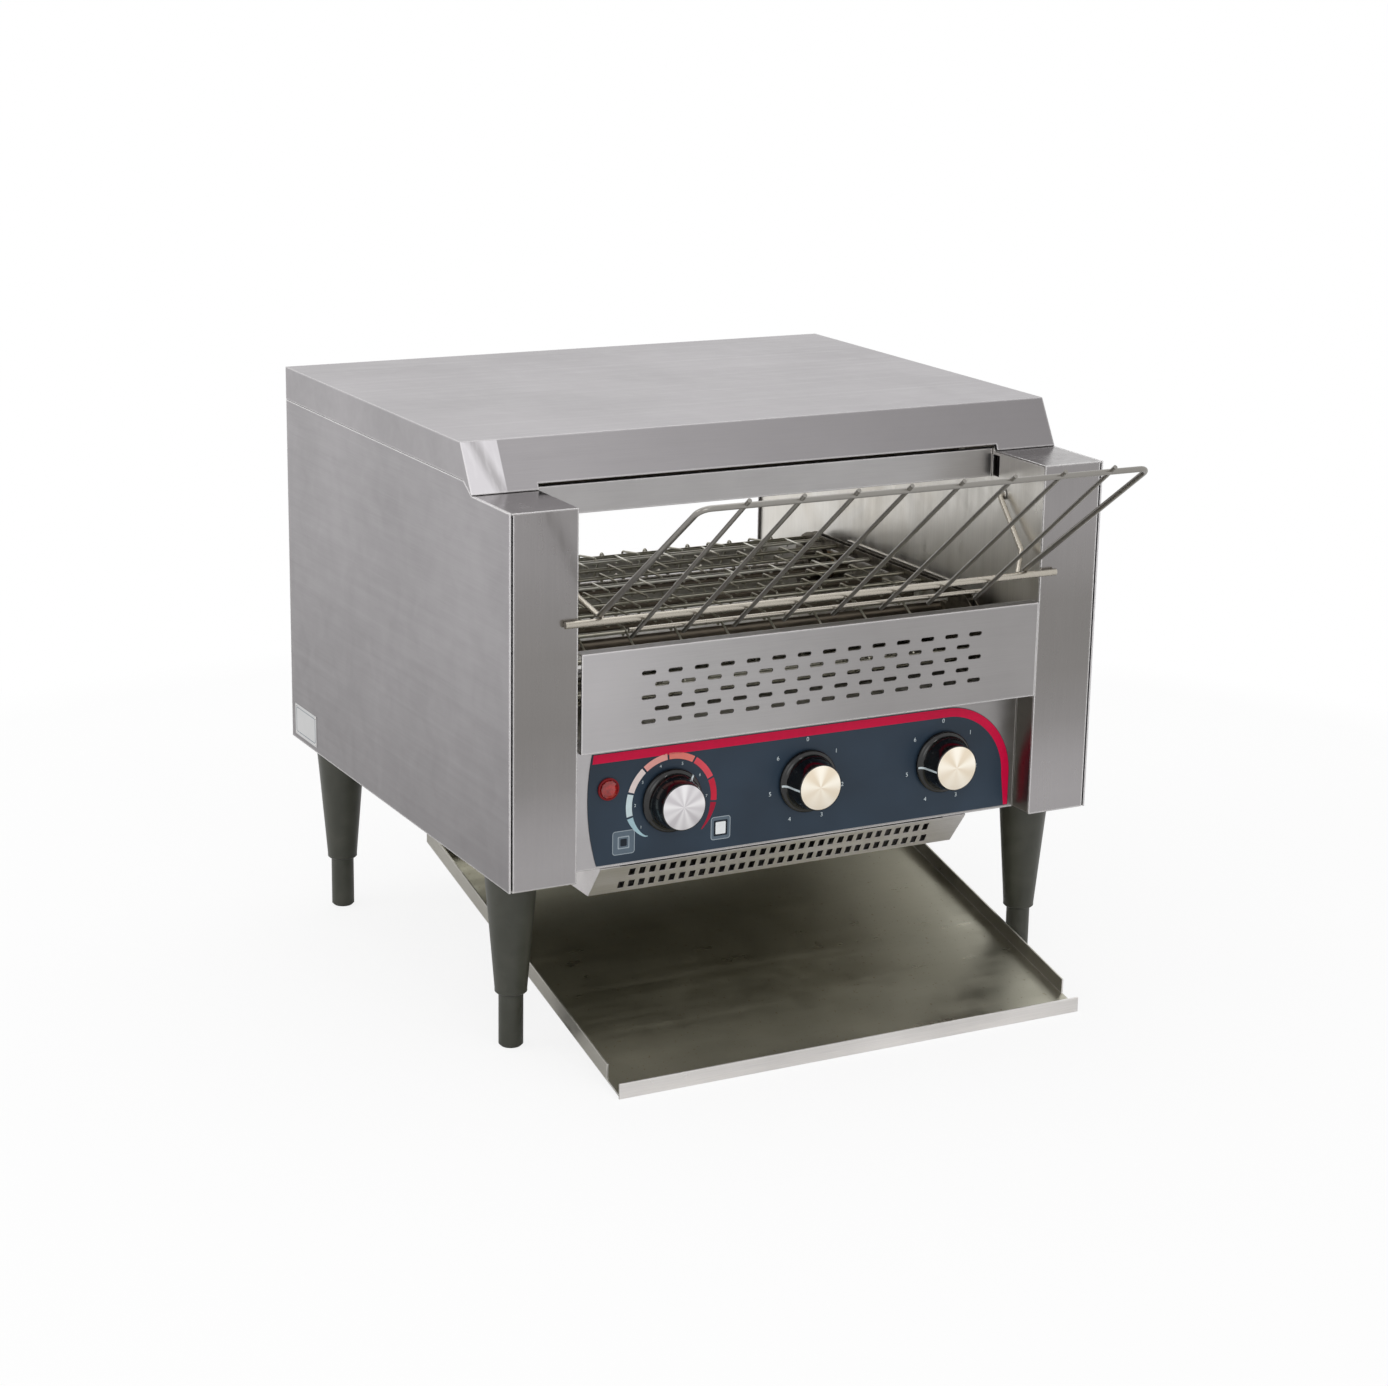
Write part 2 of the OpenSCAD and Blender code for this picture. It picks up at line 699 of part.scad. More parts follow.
module lower_grille() {
  left = grille_x - grille_w / 2;
  right = grille_x + grille_w / 2;
  slope_len = norm([grille_run, grille_drop]);
  slope = atan2(grille_drop, grille_run);
  front = control_recess;
  top = -seam - sheet * cos(slope);
  low = top - grille_drop;
  back = front + grille_run + grille_floor;
  inside = front + sheet * sin(slope);  // where the slope's inner face meets the underside
  floor_at = inside + (-seam - low - sheet) / tan(slope);
  color(steel) {
    difference() {
      side_plate(left, right) polygon([
        [inside, -seam], [front, top], [front + grille_run, low], [back, low], [back, -seam]]);
      side_plate(left + sheet, right - sheet) polygon([
        [inside, -seam], [floor_at, low + sheet], [back - sheet, low + sheet],
        [back - sheet, 1], [inside, 1]]);
      translate([0, front_y + front, base_z + top]) rotate([-slope, 0, 0])
        translate([0, 0, -sheet]) linear_extrude(3 * sheet)
          for (row = [0, 1]) {
            n = vent_count - 1 + row;
            for (i = [0 : n - 1])
              translate([vents_x + (i - (n - 1) / 2) * vent_pitch,
                         slope_len / 2 + (row - 0.5) * vent_row_pitch])
                slanted_slot(vent_w, vent_len, vent_lean);
          }
    }
    block([left, right], [back - sheet, back + fold_d], [-seam - sheet, -seam]);
  }
}

module base_rail(side) {
  inner = inner_x + sheet + seat;
  outer = half_w - sheet - seat;
  color(steel) mirror([side < 0 ? 1 : 0, 0, 0]) difference() {
    union() {
      block([inner, outer], [fold_d + seam, chute_back], [0, sheet]);
      block([inner, inner + sheet], [fold_d + seam, chute_back], [0, fold_d]);
      block([outer - sheet, outer], [fold_d + seam, chute_back], [0, fold_d]);
    }
    for (d = [leg_inset_y, body_d - leg_inset_y])
      translate([half_w - leg_inset_x, front_y + d, base_z - 1]) cylinder(h = sheet + 2, d = stud_d + 2 * seat);
  }
}
module left_base_rail() { base_rail(-1); }
module right_base_rail() { base_rail(1); }

module electronics_floor() {
  x = inner_x - seat;
  color(steel) difference() {
    block([-x, x], [control_recess + 2 * sheet, electronics_d - seat], [floor_h, floor_h + sheet]);
    translate([0, front_y + fan_at, base_z]) cylinder(h = floor_h + sheet + 1, r = fan_r);
  }
}

module heat_shield() {
  x = inner_x - seat;
  color(dark_steel) side_plate(-x, x) polygon([
    [control_recess + sheet + seat, shield_h], [electronics_d + sheet, shield_h],
    [electronics_d + sheet, floor_h], [electronics_d, floor_h], [electronics_d, shield_h - sheet],
    [control_recess + sheet + seat, shield_h - sheet]]);
}

rear_screws = [for (x = [-screw_x, screw_x]) for (h = screw_heights) [x, h]];
gland_x = inner_x + pillar_w * 0.4;
module rear_panel() {
  x = half_w - sheet - seat;
  color(steel) front_plate(rear_d - sheet, rear_d) difference() {
    translate([-x, 0]) square([2 * x, body_h - sheet - seam]);
    translate([rear_reveal - inner_x, rear_sill_h])
      square([2 * (inner_x - rear_reveal), body_h - skirt_h - rear_margin - rear_sill_h]);
    for (side = [-1, 1])
      for (i = [0 : rear_vent_count - 1])
        translate([side * (inner_x + pillar_w * 0.5), shaft_h + i * rear_vent_pitch])
          stadium(rear_vent_len, rear_vent_h);
    translate([gland_x, gland_h]) circle(d = gland_d - 6);
    for (s = rear_screws) translate(s) circle(r = screw_d / 2 + running);
  }
}

// A hook under the chute: down behind the tray's rear edge, then forward under its pan
module tray_hook(x) {
  back = tray_rear + 1;
  low = pan_h(back) - seat - sheet;
  top = chute_lip_h + (back - chute_lip_at) * tan(chute_slope) + sheet / 2;
  tip = tray_rear - hook_reach;
  side_plate(x, x + hook_w) {
    translate([back, low]) square([sheet, top - low]);
    polygon([[tip, pan_h(tip) - seat], [back + sheet, pan_h(back + sheet) - seat],
             [back + sheet, low], [back, low], [tip, pan_h(tip) - seat - sheet]]);
  }
}

module toast_chute() {
  x = inner_x - seat;
  hook_x = tray_w / 2 - hook_inset - hook_w;
  bend_end_h = bend_h - chute_r * cos(chute_slope);
  t = [sin(chute_slope), cos(chute_slope)];
  color(dark_steel) {
    side_plate(-x, x) {
      translate([chute_back - sheet, bend_h]) square([sheet, rear_sill_h - bend_h]);
      intersection() {
        difference() {
          translate([bend_at, bend_h]) circle(r = chute_r, $fn = 180);
          translate([bend_at, bend_h]) circle(r = chute_r - sheet, $fn = 180);
        }
        polygon([[bend_at, bend_h], [bend_at + 2 * chute_r * t[0], bend_h - 2 * chute_r * t[1]],
                 [bend_at + 2 * chute_r, bend_h - 2 * chute_r], [bend_at + 2 * chute_r, bend_h]]);
      }
      polygon([[chute_lip_at, chute_lip_h], [bend_end_at, bend_end_h],
               [bend_end_at - sheet * t[0], bend_end_h + sheet * t[1]],
               [chute_lip_at - sheet * t[0], chute_lip_h + sheet * t[1]]]);
    }
    for (e = [-x, x - sheet])
      side_plate(e, e + sheet) polygon([
        [chute_lip_at - sheet * t[0] / 2, chute_lip_h + sheet * t[1] / 2],
        [bend_end_at, bend_end_h + sheet / 2],
        [bend_end_at, bend_end_h + fold_d], [chute_lip_at, chute_lip_h + fold_d]]);
    for (e = [hook_x, -hook_x - hook_w]) tray_hook(e);
  }
}

module toast_tray() {
  x = tray_w / 2;
  pan_t = sheet * sqrt(1 + pan_tan * pan_tan);
  stop_at = lip_at + flange_stop;
  rest_h = -base_z;
  color(dark_steel) {
    side_plate(-x, x) polygon([
      [lip_at, pan_h(lip_at)], [tray_rear, pan_h(tray_rear)],
      [tray_rear, pan_h(tray_rear) + pan_t], [lip_at, pan_h(lip_at) + pan_t]]);
    block([-x, x], [lip_at, lip_at + sheet], [rest_h, rest_h + lip_h]);
    for (e = [-x, x - sheet])
      side_plate(e, e + sheet) polygon([
        [stop_at, pan_h(stop_at)], [tray_rear, pan_h(tray_rear)],
        [tray_rear, pan_h(tray_rear) + flange_h], [stop_at, pan_h(stop_at) + flange_h]]);
  }
}

module rating_plate() {
  margin = 8;
  color("silver")
    block([-half_w - plate_t, -half_w], [body_d - margin - plate_len, body_d - margin],
          [margin / 2, margin / 2 + plate_h]);
}

module cable_gland() {
  flange_t = 4;
  color(black) difference() {
    union() {
      y_bar(gland_x, [rear_d, rear_d + flange_t], gland_h, gland_d / 2);
      y_bar(gland_x, [rear_d, rear_d + gland_out], gland_h, gland_d / 2 - 3);
      y_bar(gland_x, [rear_d - sheet - 8, rear_d], gland_h, gland_d / 2 - 3 - running);
      y_bar(gland_x, [rear_d - sheet - 4, rear_d - sheet - running], gland_h, gland_d / 2);
    }
    y_bar(gland_x, [rear_d - sheet - 9, rear_d + gland_out + 1], gland_h, gland_bore_d / 2);
  }
}

module cover_screws() {
  color("silver")
    for (s = rear_screws) {
      y_bar(s[0], [rear_d, rear_d + 2], s[1], screw_d * 0.9);
      y_bar(s[0], [rear_d - sheet - 5, rear_d], s[1], screw_d / 2);
    }
}

// ---------- loading rack ----------

// Local Y runs down the rack from the top bar, and local Z is square to its side bars
module on_rack() {
  translate([0, front_y + rack_top_at, base_z + rack_top_h]) rotate([-rack_slope, 0, 0]) children();
}

// The same from the top bar down the wires, which lie a little steeper
module on_wires() {
  on_rack() rotate([-wire_dip, 0, 0]) children();
}

module rack_frame() {
  r = frame_wire_d / 2;
  x = rack_w / 2;
  c = rack_corner_r;
  color(steel) on_rack() {
    translate([-x + c, 0, 0]) rotate([0, 90, 0]) cylinder(h = 2 * (x - c), r = r);
    for (side = [0, 1])
      mirror([side, 0, 0]) {
        translate([x - c, c, 0]) rotate([0, 0, -90])
          rotate_extrude(angle = 90) translate([c, 0]) circle(r = r);
        translate([x, c, 0]) rotate([-90, 0, 0]) cylinder(h = rack_len - c, r = r);
      }
  }
}

module rack_bars() {
  color(steel) {
    x_bar([-rest_bar_len / 2, rest_bar_len / 2], bar_at, rest_bar_h, rest_bar_d / 2);
    on_wires() translate([-lower_bar_len / 2, rack_len + rack_tail, thin_wire_d - weld])
      rotate([0, 90, 0]) cylinder(h = lower_bar_len, r = thin_wire_d / 2);
  }
}

module rack_wires() {
  start = frame_wire_d / 2 - weld;
  wire_len = rack_len + rack_tail + wire_tip - start;
  r = thin_wire_d / 2;
  color(steel) on_wires()
    for (i = [0 : rack_wires_n - 1])
      translate([(i - (rack_wires_n - 1) / 2) * rack_wire_pitch, 0, 0]) {
        translate([0, start, 0]) rotate([-90, 0, 0]) cylinder(h = wire_len, r = r);
        translate([0, -stub_len, 0]) rotate([-90, 0, 0]) cylinder(h = wire_stub, r = r);
      }
}

module rack_arms() {
  r = frame_wire_d / 2;
  foot_x = rack_w / 2 - frame_wire_d;
  arm_x = inner_x - r - 2;
  knee = [arm_x - 3, bar_at + (pivot_at - bar_at) * 0.3, rest_bar_h + (pivot_h - rest_bar_h) * 0.28];
  foot = [foot_x, bar_at + (rest_bar_d + frame_wire_d) / 2 - weld, rest_bar_h];
  eye = [arm_x, pivot_at, pivot_h];
  past = 0.6 * r / norm(knee - foot);
  color(steel)
    for (side = [0, 1])
      mirror([side, 0, 0]) {
        wire(foot, knee + past * (knee - foot), r);
        wire(knee + past * (knee - eye), eye, r);
        x_bar([arm_x - r - 0.5, arm_x + r + 0.5], pivot_at, pivot_h, 1.6 * r);
        x_bar([arm_x, inner_x + sheet + 5], pivot_at, pivot_h, r);
      }
}

// ---------- heating ----------

module upper_reflector() {
  x = inner_x - seat;
  h = upper_h + reflector_rise;
  color(dark_steel) block([-x, x], [crease_d + 4, chute_back - 4], [h, h + sheet]);
}

module lower_reflector() {
  x = inner_x - seat;
  h = shaft_h - lower_reflector_drop;
  color(dark_steel)
    block([-x, x], [idler_at + sprocket_r + 2, drive_at - sprocket_r - 2], [h, h + sheet]);
}

module element_row(row, h) {
  reach = inner_x + sheet + element_out;
  for (d = row) x_bar([-reach, reach], d, h, element_d / 2);
}
module upper_elements() { color("#6b4a3c") element_row(upper_row, upper_h); }
module lower_elements() { color("#6b4a3c") element_row(lower_row, lower_h); }

module insulator(side, d, h) {
  mirror([side, 0, 0]) difference() {
    union() {
      x_bar([inner_x - insulator_out, inner_x + sheet + insulator_out], d, h, insulator_d / 2);
      x_bar([inner_x + sheet + running, inner_x + sheet + insulator_out], d, h, insulator_d / 2 + 2);
    }
    x_bar([inner_x - insulator_out - 1, inner_x + sheet + insulator_out + 1], d, h, element_d / 2 + running);
  }
}
module element_insulators() {
  color("white")
    for (side = [0, 1]) {
      for (d = upper_row) insulator(side, d, upper_h);
      for (d = lower_row) insulator(side, d, lower_h);
    }
}

// ---------- conveyor ----------

shaft_end = inner_x + sheet + 7;
module drive_shaft() {
  color("silver") x_bar([-shaft_end, drive_x + wheel_t], drive_at, shaft_h, shaft_d / 2);
}
module idler_shaft() {
  color("silver") x_bar([-shaft_end, shaft_end], idler_at, shaft_h, shaft_d / 2);
}

module sprocket_pair(d) {
  hub_in = chain_x - 3 * wheel_t;
  color(dark_steel)
    for (side = [0, 1])
      mirror([side, 0, 0]) {
        translate([chain_x - wheel_t / 2, front_y + d, base_z + shaft_h]) rotate([90, 0, 90])
          linear_extrude(wheel_t) wheel_outline(belt_teeth, pitch_r, tooth_h, shaft_d / 2 + running);
        difference() {
          x_bar([hub_in, chain_x - wheel_t / 2], d, shaft_h, shaft_d);
          x_bar([hub_in - 1, chain_x], d, shaft_h, shaft_d / 2 + running);
        }
      }
}
module rear_sprockets() { sprocket_pair(drive_at); }
module front_sprockets() { sprocket_pair(idler_at); }

module driven_wheel() {
  color(dark_steel)
    translate([drive_x - wheel_t / 2, front_y + drive_at, base_z + shaft_h]) rotate([90, 0, 90])
      linear_extrude(wheel_t) wheel_outline(driven_teeth, driven_r, drive_tooth_h, shaft_d / 2 + running);
}

module shaft_bushes() {
  color("goldenrod")
    for (side = [0, 1])
      for (d = [idler_at, drive_at])
        mirror([side, 0, 0]) difference() {
          union() {
            x_bar([inner_x - 3, inner_x + sheet + 5], d, shaft_h, bush_d / 2);
            x_bar([inner_x + sheet + running, inner_x + sheet + 3], d, shaft_h, bush_d / 2 + 4);
          }
          x_bar([inner_x - 4, inner_x + sheet + 6], d, shaft_h, shaft_d / 2 + running);
        }
}

module belt_chain(x) {
  clear = sprocket_r + chain_pitch / 6 + 1;
  color("#77726a") chain(x, [idler_at, shaft_h], [drive_at, shaft_h], pitch_r, pitch_r,
                         chain_pitch, clear, clear);
}
module left_belt_chain() { belt_chain(-chain_x); }
module right_belt_chain() { belt_chain(chain_x); }

// Depth and height of link k, counted from the top of the idler
function on_arc(at, a) = [at + pitch_r * sin(a), shaft_h + pitch_r * cos(a)];
function link_place(k) =
  k <= belt_links ? [idler_at + k * chain_pitch, shaft_h + pitch_r] :
  k <= belt_links + arc_links ? on_arc(drive_at, (k - belt_links) * 360 / belt_teeth) :
  k <= 2 * belt_links + arc_links
    ? [drive_at - (k - belt_links - arc_links) * chain_pitch, shaft_h - pitch_r] :
  on_arc(idler_at, 180 + (k - 2 * belt_links - arc_links) * 360 / belt_teeth);

module belt_rods() {
  x = chain_x - link_out + weld;
  color(steel)
    for (k = [0 : 2 : 2 * (belt_links + arc_links) - 1])
      x_bar([-x, x], link_place(k)[0], link_place(k)[1], rod_d / 2);
}

module belt_rails() {
  color(steel)
    for (side = [0, 1])
      mirror([side, 0, 0]) {
        block([chain_x - link_out, inner_x - running],
              [idler_at + sprocket_r + 3, drive_at - sprocket_r - 3], [rail_h - rail_t, rail_h]);
        block([inner_x - running - rail_t, inner_x - running],
              [idler_at + sprocket_r + 3, drive_at - sprocket_r - 3], [rail_h - rail_t, rail_h + 6]);
      }
}

// ---------- belt drive ----------

module gear_motor() {
  case_right = inner_x - seat;
  case_left = case_right - gear_case_w;
  case_low = motor_h - gear_case_h / 2;
  bore = motor_shaft_d / 2 + running;
  color(dark_steel) difference() {
    union() {
      block([case_left, case_right], [motor_at - gear_case_d / 2, motor_at + gear_case_d / 2],
            [case_low, case_low + gear_case_h]);
      x_bar([case_left - motor_len, case_left], motor_at, motor_h, motor_d / 2);
      x_bar([case_left - motor_len - 6, case_left - motor_len], motor_at, motor_h, motor_d / 4);
    }
    x_bar([case_left + 12, case_right + 1], motor_at, motor_h, bore);
  }
}

module motor_wheel() {
  case_left = inner_x - seat - gear_case_w;
  color("silver") {
    x_bar([case_left + 12 + seat, drive_x + wheel_t], motor_at, motor_h, motor_shaft_d / 2);
    translate([drive_x - wheel_t / 2, front_y + motor_at, base_z + motor_h]) rotate([90, 0, 90])
      linear_extrude(wheel_t) wheel_outline(motor_teeth, motor_r, drive_tooth_h, motor_shaft_d / 4);
  }
}

module drive_chain() {
  pin = drive_pitch / 6 + 1;
  color("#77726a") chain(drive_x, [motor_at, motor_h], [drive_at, shaft_h], motor_r, driven_r,
                         drive_pitch, motor_r + drive_tooth_h + pin, driven_r + drive_tooth_h + pin);
}

// ---------- electronics ----------

fan_hub_r = fan_w * 0.2;
fan_pin_d = 3;
module fan_frame() {
  w = fan_w / 2;
  color(black) translate([0, front_y + fan_at, base_z + fan_h]) difference() {
    union() {
      difference() {
        translate([-w, -w, 0]) cube([fan_w, fan_w, fan_t]);
        translate([0, 0, -1]) cylinder(h = fan_t + 2, r = fan_r);
      }
      cylinder(h = 4, r = fan_hub_r);
      for (a = [45, 135]) rotate(a) translate([-fan_r - 1, -2, 0]) cube([2 * fan_r + 2, 4, 3]);
    }
    translate([0, 0, 1]) cylinder(h = fan_t, d = fan_pin_d + 2 * running);
  }
}

module fan_impeller() {
  low = 5;
  high = fan_t - 2;
  blade_in = fan_hub_r - 2;
  blade_out = fan_r - 1.5;
  color(black) translate([0, front_y + fan_at, base_z + fan_h]) {
    translate([0, 0, low]) cylinder(h = high - low, r = fan_hub_r);
    translate([0, 0, 1 + seat]) cylinder(h = low, d = fan_pin_d);
    intersection() {
      union()
        for (i = [0 : fan_blades - 1])
          rotate(i * 360 / fan_blades) translate([blade_in, 0, (low + high) / 2]) rotate([40, 0, 0])
            translate([0, -blade_w / 2, -blade_t / 2]) cube([blade_out, blade_w, blade_t]);
      translate([0, 0, low]) cylinder(h = high - low, r = blade_out);
    }
  }
}

bush_out = 3.4;
module rotary_controls() {
  back = control_recess + sheet + seam / 4;
  w = control_box / 2;
  color(black)
    for (k = knob_places) difference() {
      union() {
        block([k - w, k + w], [back, back + control_box_d], [knob_h - w, knob_h + w]);
        y_bar(k, [control_recess - overlay_t - bush_out, back], knob_h, panel_hole / 2 - running);
        y_bar(k, [control_recess - overlay_t - 2.2, control_recess - overlay_t], knob_h, panel_hole / 2 + 3);
      }
      y_bar(k, [0, back + control_box_d * 0.6], knob_h, spindle_d / 2 + running);
    }
}

module lamp_body() {
  r = lamp_d / 2 - 1;
  color(black) {
    y_bar(lamp_x, [control_recess - overlay_t, control_recess + lamp_body_len], lamp_h, r - running);
    y_bar(lamp_x, [control_recess + sheet, control_recess + sheet + 3], lamp_h, r + 2);
  }
}
module lamp_lens() {
  color("red") translate([lamp_x, front_y + control_recess - overlay_t, base_z + lamp_h])
    rotate([90, 0, 0]) {
      cylinder(h = lens_out / 2, d = lamp_d);
      translate([0, 0, lens_out / 2]) cylinder(h = lens_out / 2, d1 = lamp_d, d2 = lamp_d * 0.6);
    }
}

// A knob about the origin, its back towards -Z and its cap at the top
skirt_gap = 0.8;
bore_len = 15;
module knob() {
  low = overlay_t + skirt_gap;
  seat_z = knob_depth - cap_t;
  color(black) difference() {
    rotate_extrude() polygon([
      [0, low], [knob_d / 2, low], [knob_d / 2, low + 2.4], [knob_d / 2 - 1, low + 3.2],
      [grip_d / 2 + 0.6, low + 4.6], [grip_d / 2, low + 6], [cap_d / 2 + 1, knob_depth - 0.4],
      [cap_d / 2 + 0.6, knob_depth], [0, knob_depth]]);
    translate([0, 0, low - 1]) cylinder(h = bush_out + 2, r = panel_hole / 2 + 3.6);
    translate([0, 0, low]) cylinder(h = bore_len, r = spindle_d / 2 + running);
    translate([0, 0, seat_z]) cylinder(h = cap_t + 1, r = cap_d / 2 + running);
  }
  color("#e8e4d8") translate([0, 0, seat_z]) cylinder(h = cap_t, r = cap_d / 2);
}
module knob_at(x) {
  translate([x, front_y + control_recess, base_z + knob_h]) rotate([90, 0, 0]) knob();
}
module spindle_at(x) {
  tip = control_recess - overlay_t - skirt_gap - bore_len + seat;
  tail = control_recess + sheet + control_box_d * 0.6 - seat;
  color("silver") y_bar(x, [tip, tail], knob_h, spindle_d / 2);
}
module speed_knob() { knob_at(speed_x); }
module upper_knob() { knob_at(upper_x); }
module lower_knob() { knob_at(lower_x); }
module speed_spindle() { spindle_at(speed_x); }
module upper_spindle() { spindle_at(upper_x); }
module lower_spindle() { spindle_at(lower_x); }

// ---------- legs and feet ----------

leg_x = half_w - leg_inset_x;
leg_front = leg_inset_y;
leg_rear = body_d - leg_inset_y;
foot_top = leg_end_h + foot_inside;
module at_leg(x, d) {
  translate([x, front_y + d, 0]) children();
}

module legs() {
  top = base_z - running;
  color("#33342c")
    for (x = [-leg_x, leg_x])
      for (d = [leg_front, leg_rear])
        at_leg(x, d) difference() {
          union() {
            rotate_extrude() polygon([
              [0, leg_end_h], [leg_low_d / 2 - 0.8, leg_end_h], [leg_low_d / 2, leg_end_h + 0.8],
              [leg_low_d / 2, leg_end_h + 3], [leg_top_d / 2, top - 4], [leg_top_d / 2, top], [0, top]]);
            translate([0, 0, top - 1]) cylinder(h = sheet + 9, d = stud_d);
            translate([0, 0, base_z + sheet + running]) cylinder(h = 5, d = stud_d * 1.7);
          }
          translate([0, 0, leg_end_h - 1])
            cylinder(h = foot_inside + 1 + seat, d = foot_d + 2 * sliding);
        }
}

module foot(x, d) {
  color("#33342c") at_leg(x, d) rotate_extrude() polygon([
    [0, 0], [foot_d / 2 - 1.5, 0], [foot_d / 2, 1.5], [foot_d / 2, foot_top], [0, foot_top]]);
}
module foot_front_left() { foot(-leg_x, leg_front); }
module foot_front_right() { foot(leg_x, leg_front); }
module foot_rear_left() { foot(-leg_x, leg_rear); }
module foot_rear_right() { foot(leg_x, leg_rear); }

hood();
left_side_panel();
right_side_panel();
left_pillar();
right_pillar();
left_inner_wall();
right_inner_wall();
front_header();
vent_panel();
control_panel();
control_overlay();
lower_grille();
left_base_rail();
right_base_rail();
electronics_floor();
heat_shield();
rear_panel();
toast_chute();
toast_tray();
rating_plate();
cable_gland();
cover_screws();
rack_frame();
rack_bars();
rack_wires();
rack_arms();
upper_reflector();
upper_elements();
lower_reflector();
lower_elements();
element_insulators();
drive_shaft();
rear_sprockets();
driven_wheel();
idler_shaft();
front_sprockets();
shaft_bushes();
left_belt_chain();
right_belt_chain();
belt_rods();
belt_rails();
gear_motor();
motor_wheel();
drive_chain();
fan_frame();
fan_impeller();
rotary_controls();
lamp_body();
lamp_lens();
speed_knob();
speed_spindle();
upper_knob();
upper_spindle();
lower_knob();
lower_spindle();
legs();
foot_front_left();
foot_front_right();
foot_rear_left();
foot_rear_right();
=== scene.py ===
"""Conveyor toaster: finishes, fine pieces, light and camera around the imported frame.

Everything is in metres in the part's own frame: +Z up, +Y to the rear, X = 0 in the middle.
"""
import math
import bpy
from mathutils import Matrix, Vector


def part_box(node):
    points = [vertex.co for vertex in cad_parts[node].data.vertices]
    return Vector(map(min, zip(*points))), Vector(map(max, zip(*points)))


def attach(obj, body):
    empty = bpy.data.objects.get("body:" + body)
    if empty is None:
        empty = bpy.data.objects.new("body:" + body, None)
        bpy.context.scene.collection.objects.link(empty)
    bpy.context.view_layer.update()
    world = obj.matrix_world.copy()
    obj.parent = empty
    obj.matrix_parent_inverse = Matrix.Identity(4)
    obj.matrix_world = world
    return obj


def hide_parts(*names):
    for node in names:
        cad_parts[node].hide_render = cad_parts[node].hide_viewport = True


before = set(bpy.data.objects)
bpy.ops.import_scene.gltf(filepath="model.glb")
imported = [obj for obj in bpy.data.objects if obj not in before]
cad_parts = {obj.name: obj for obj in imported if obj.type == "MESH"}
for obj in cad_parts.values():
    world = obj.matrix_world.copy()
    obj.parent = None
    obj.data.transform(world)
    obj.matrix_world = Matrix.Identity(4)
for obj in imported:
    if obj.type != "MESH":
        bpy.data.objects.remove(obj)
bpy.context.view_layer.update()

MM = 0.001

# ---- places taken from the frame

FRONT_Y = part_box("left_pillar")[0][1]          # face of the front pillars
BASE_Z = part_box("left_side_panel")[0][2]       # underside of the body
HALF_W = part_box("right_side_panel")[1][0]
TOP_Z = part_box("hood")[1][2]
PANEL_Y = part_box("control_overlay")[0][1]      # face of the printed overlay
INNER_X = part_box("right_inner_wall")[0][0]     # inner face of the right inner wall
WALL_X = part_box("right_inner_wall")[1][0]      # its outer face
TRAY_LIP_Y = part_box("toast_tray")[0][1]
SHARP_ANGLE = math.radians(35)                 # folds sharper than this stay sharp


def middle(node):
    """The middle of a node's box."""
    low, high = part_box(node)
    return Vector((low[0] + high[0], low[1] + high[1], low[2] + high[2])) / 2


def colour(code):
    """A linear colour with alpha from an sRGB code such as '#8c8a88'."""
    parts = [int(code[i:i + 2], 16) / 255 for i in (1, 3, 5)]
    linear = [p / 12.92 if p <= 0.04045 else ((p + 0.055) / 1.055) ** 2.4 for p in parts]
    return (*linear, 1.0)


def placed(name, data):
    """An object in the scene with its data."""
    made = bpy.data.objects.new(name, data)
    bpy.context.scene.collection.objects.link(made)
    return made


# ---- forms

class Form:
    """Points and faces gathered for one piece."""

    def __init__(self):
        self.points, self.faces = [], []

    def add(self, points, faces, place=Matrix()):
        start = len(self.points)
        self.points += [tuple(place @ Vector(p)) for p in points]
        self.faces += [tuple(start + i for i in face) for face in faces]
        return self

    def piece(self, name, body, slot, material, smooth=True):
        """The finished piece, riding on a body. Its slot is not used."""
        mesh = bpy.data.meshes.new(name)
        mesh.from_pydata(self.points, [], self.faces)
        mesh.validate()
        mesh.materials.append(material)
        piece = placed(name, mesh)
        if smooth:
            mesh.polygons.foreach_set("use_smooth", [True] * len(mesh.polygons))
            mesh.set_sharp_from_angle(angle=SHARP_ANGLE)
        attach(piece, body)
        return piece


def sweep(form, path, radius, sides):
    """A round wire along a path, with flat ends."""
    path = [Vector(p) for p in path]
    last = len(path) - 1
    normal, points, faces = None, [], []
    for i, point in enumerate(path):
        along = (path[min(i + 1, last)] - path[max(i - 1, 0)]).normalized()
        normal = along.orthogonal() if normal is None else normal
        normal = (normal - along * normal.dot(along)).normalized()
        side = along.cross(normal)
        for k in range(sides):
            a = 2 * math.pi * k / sides
            points.append(point + radius * (math.cos(a) * normal + math.sin(a) * side))
    for i in range(last):
        a, b = i * sides, (i + 1) * sides
        for k in range(sides):
            n = (k + 1) % sides
            faces.append((a + k, a + n, b + n, b + k))
    faces.append(tuple(reversed(range(sides))))
    faces.append(tuple(last * sides + k for k in range(sides)))
    return form.add(points, faces)


def bent(corners, radius, steps):
    """A path through the corners, with each inner corner rounded to the radius."""
    corners = [Vector(c) for c in corners]
    path = [corners[0]]
    for before, corner, after in zip(corners, corners[1:], corners[2:]):
        a, b = (before - corner).normalized(), (after - corner).normalized()
        half = a.angle(b) / 2
        centre = corner + (a + b).normalized() * radius / math.sin(half)
        start = corner + a * radius / math.tan(half) - centre
        end = corner + b * radius / math.tan(half) - centre
        turn = math.pi - 2 * half
        for k in range(steps + 1):
            t = turn * k / steps
            spoke = (start * math.sin(turn - t) + end * math.sin(t)) / math.sin(turn)
            path.append(centre + spoke)
    return path + [corners[-1]]


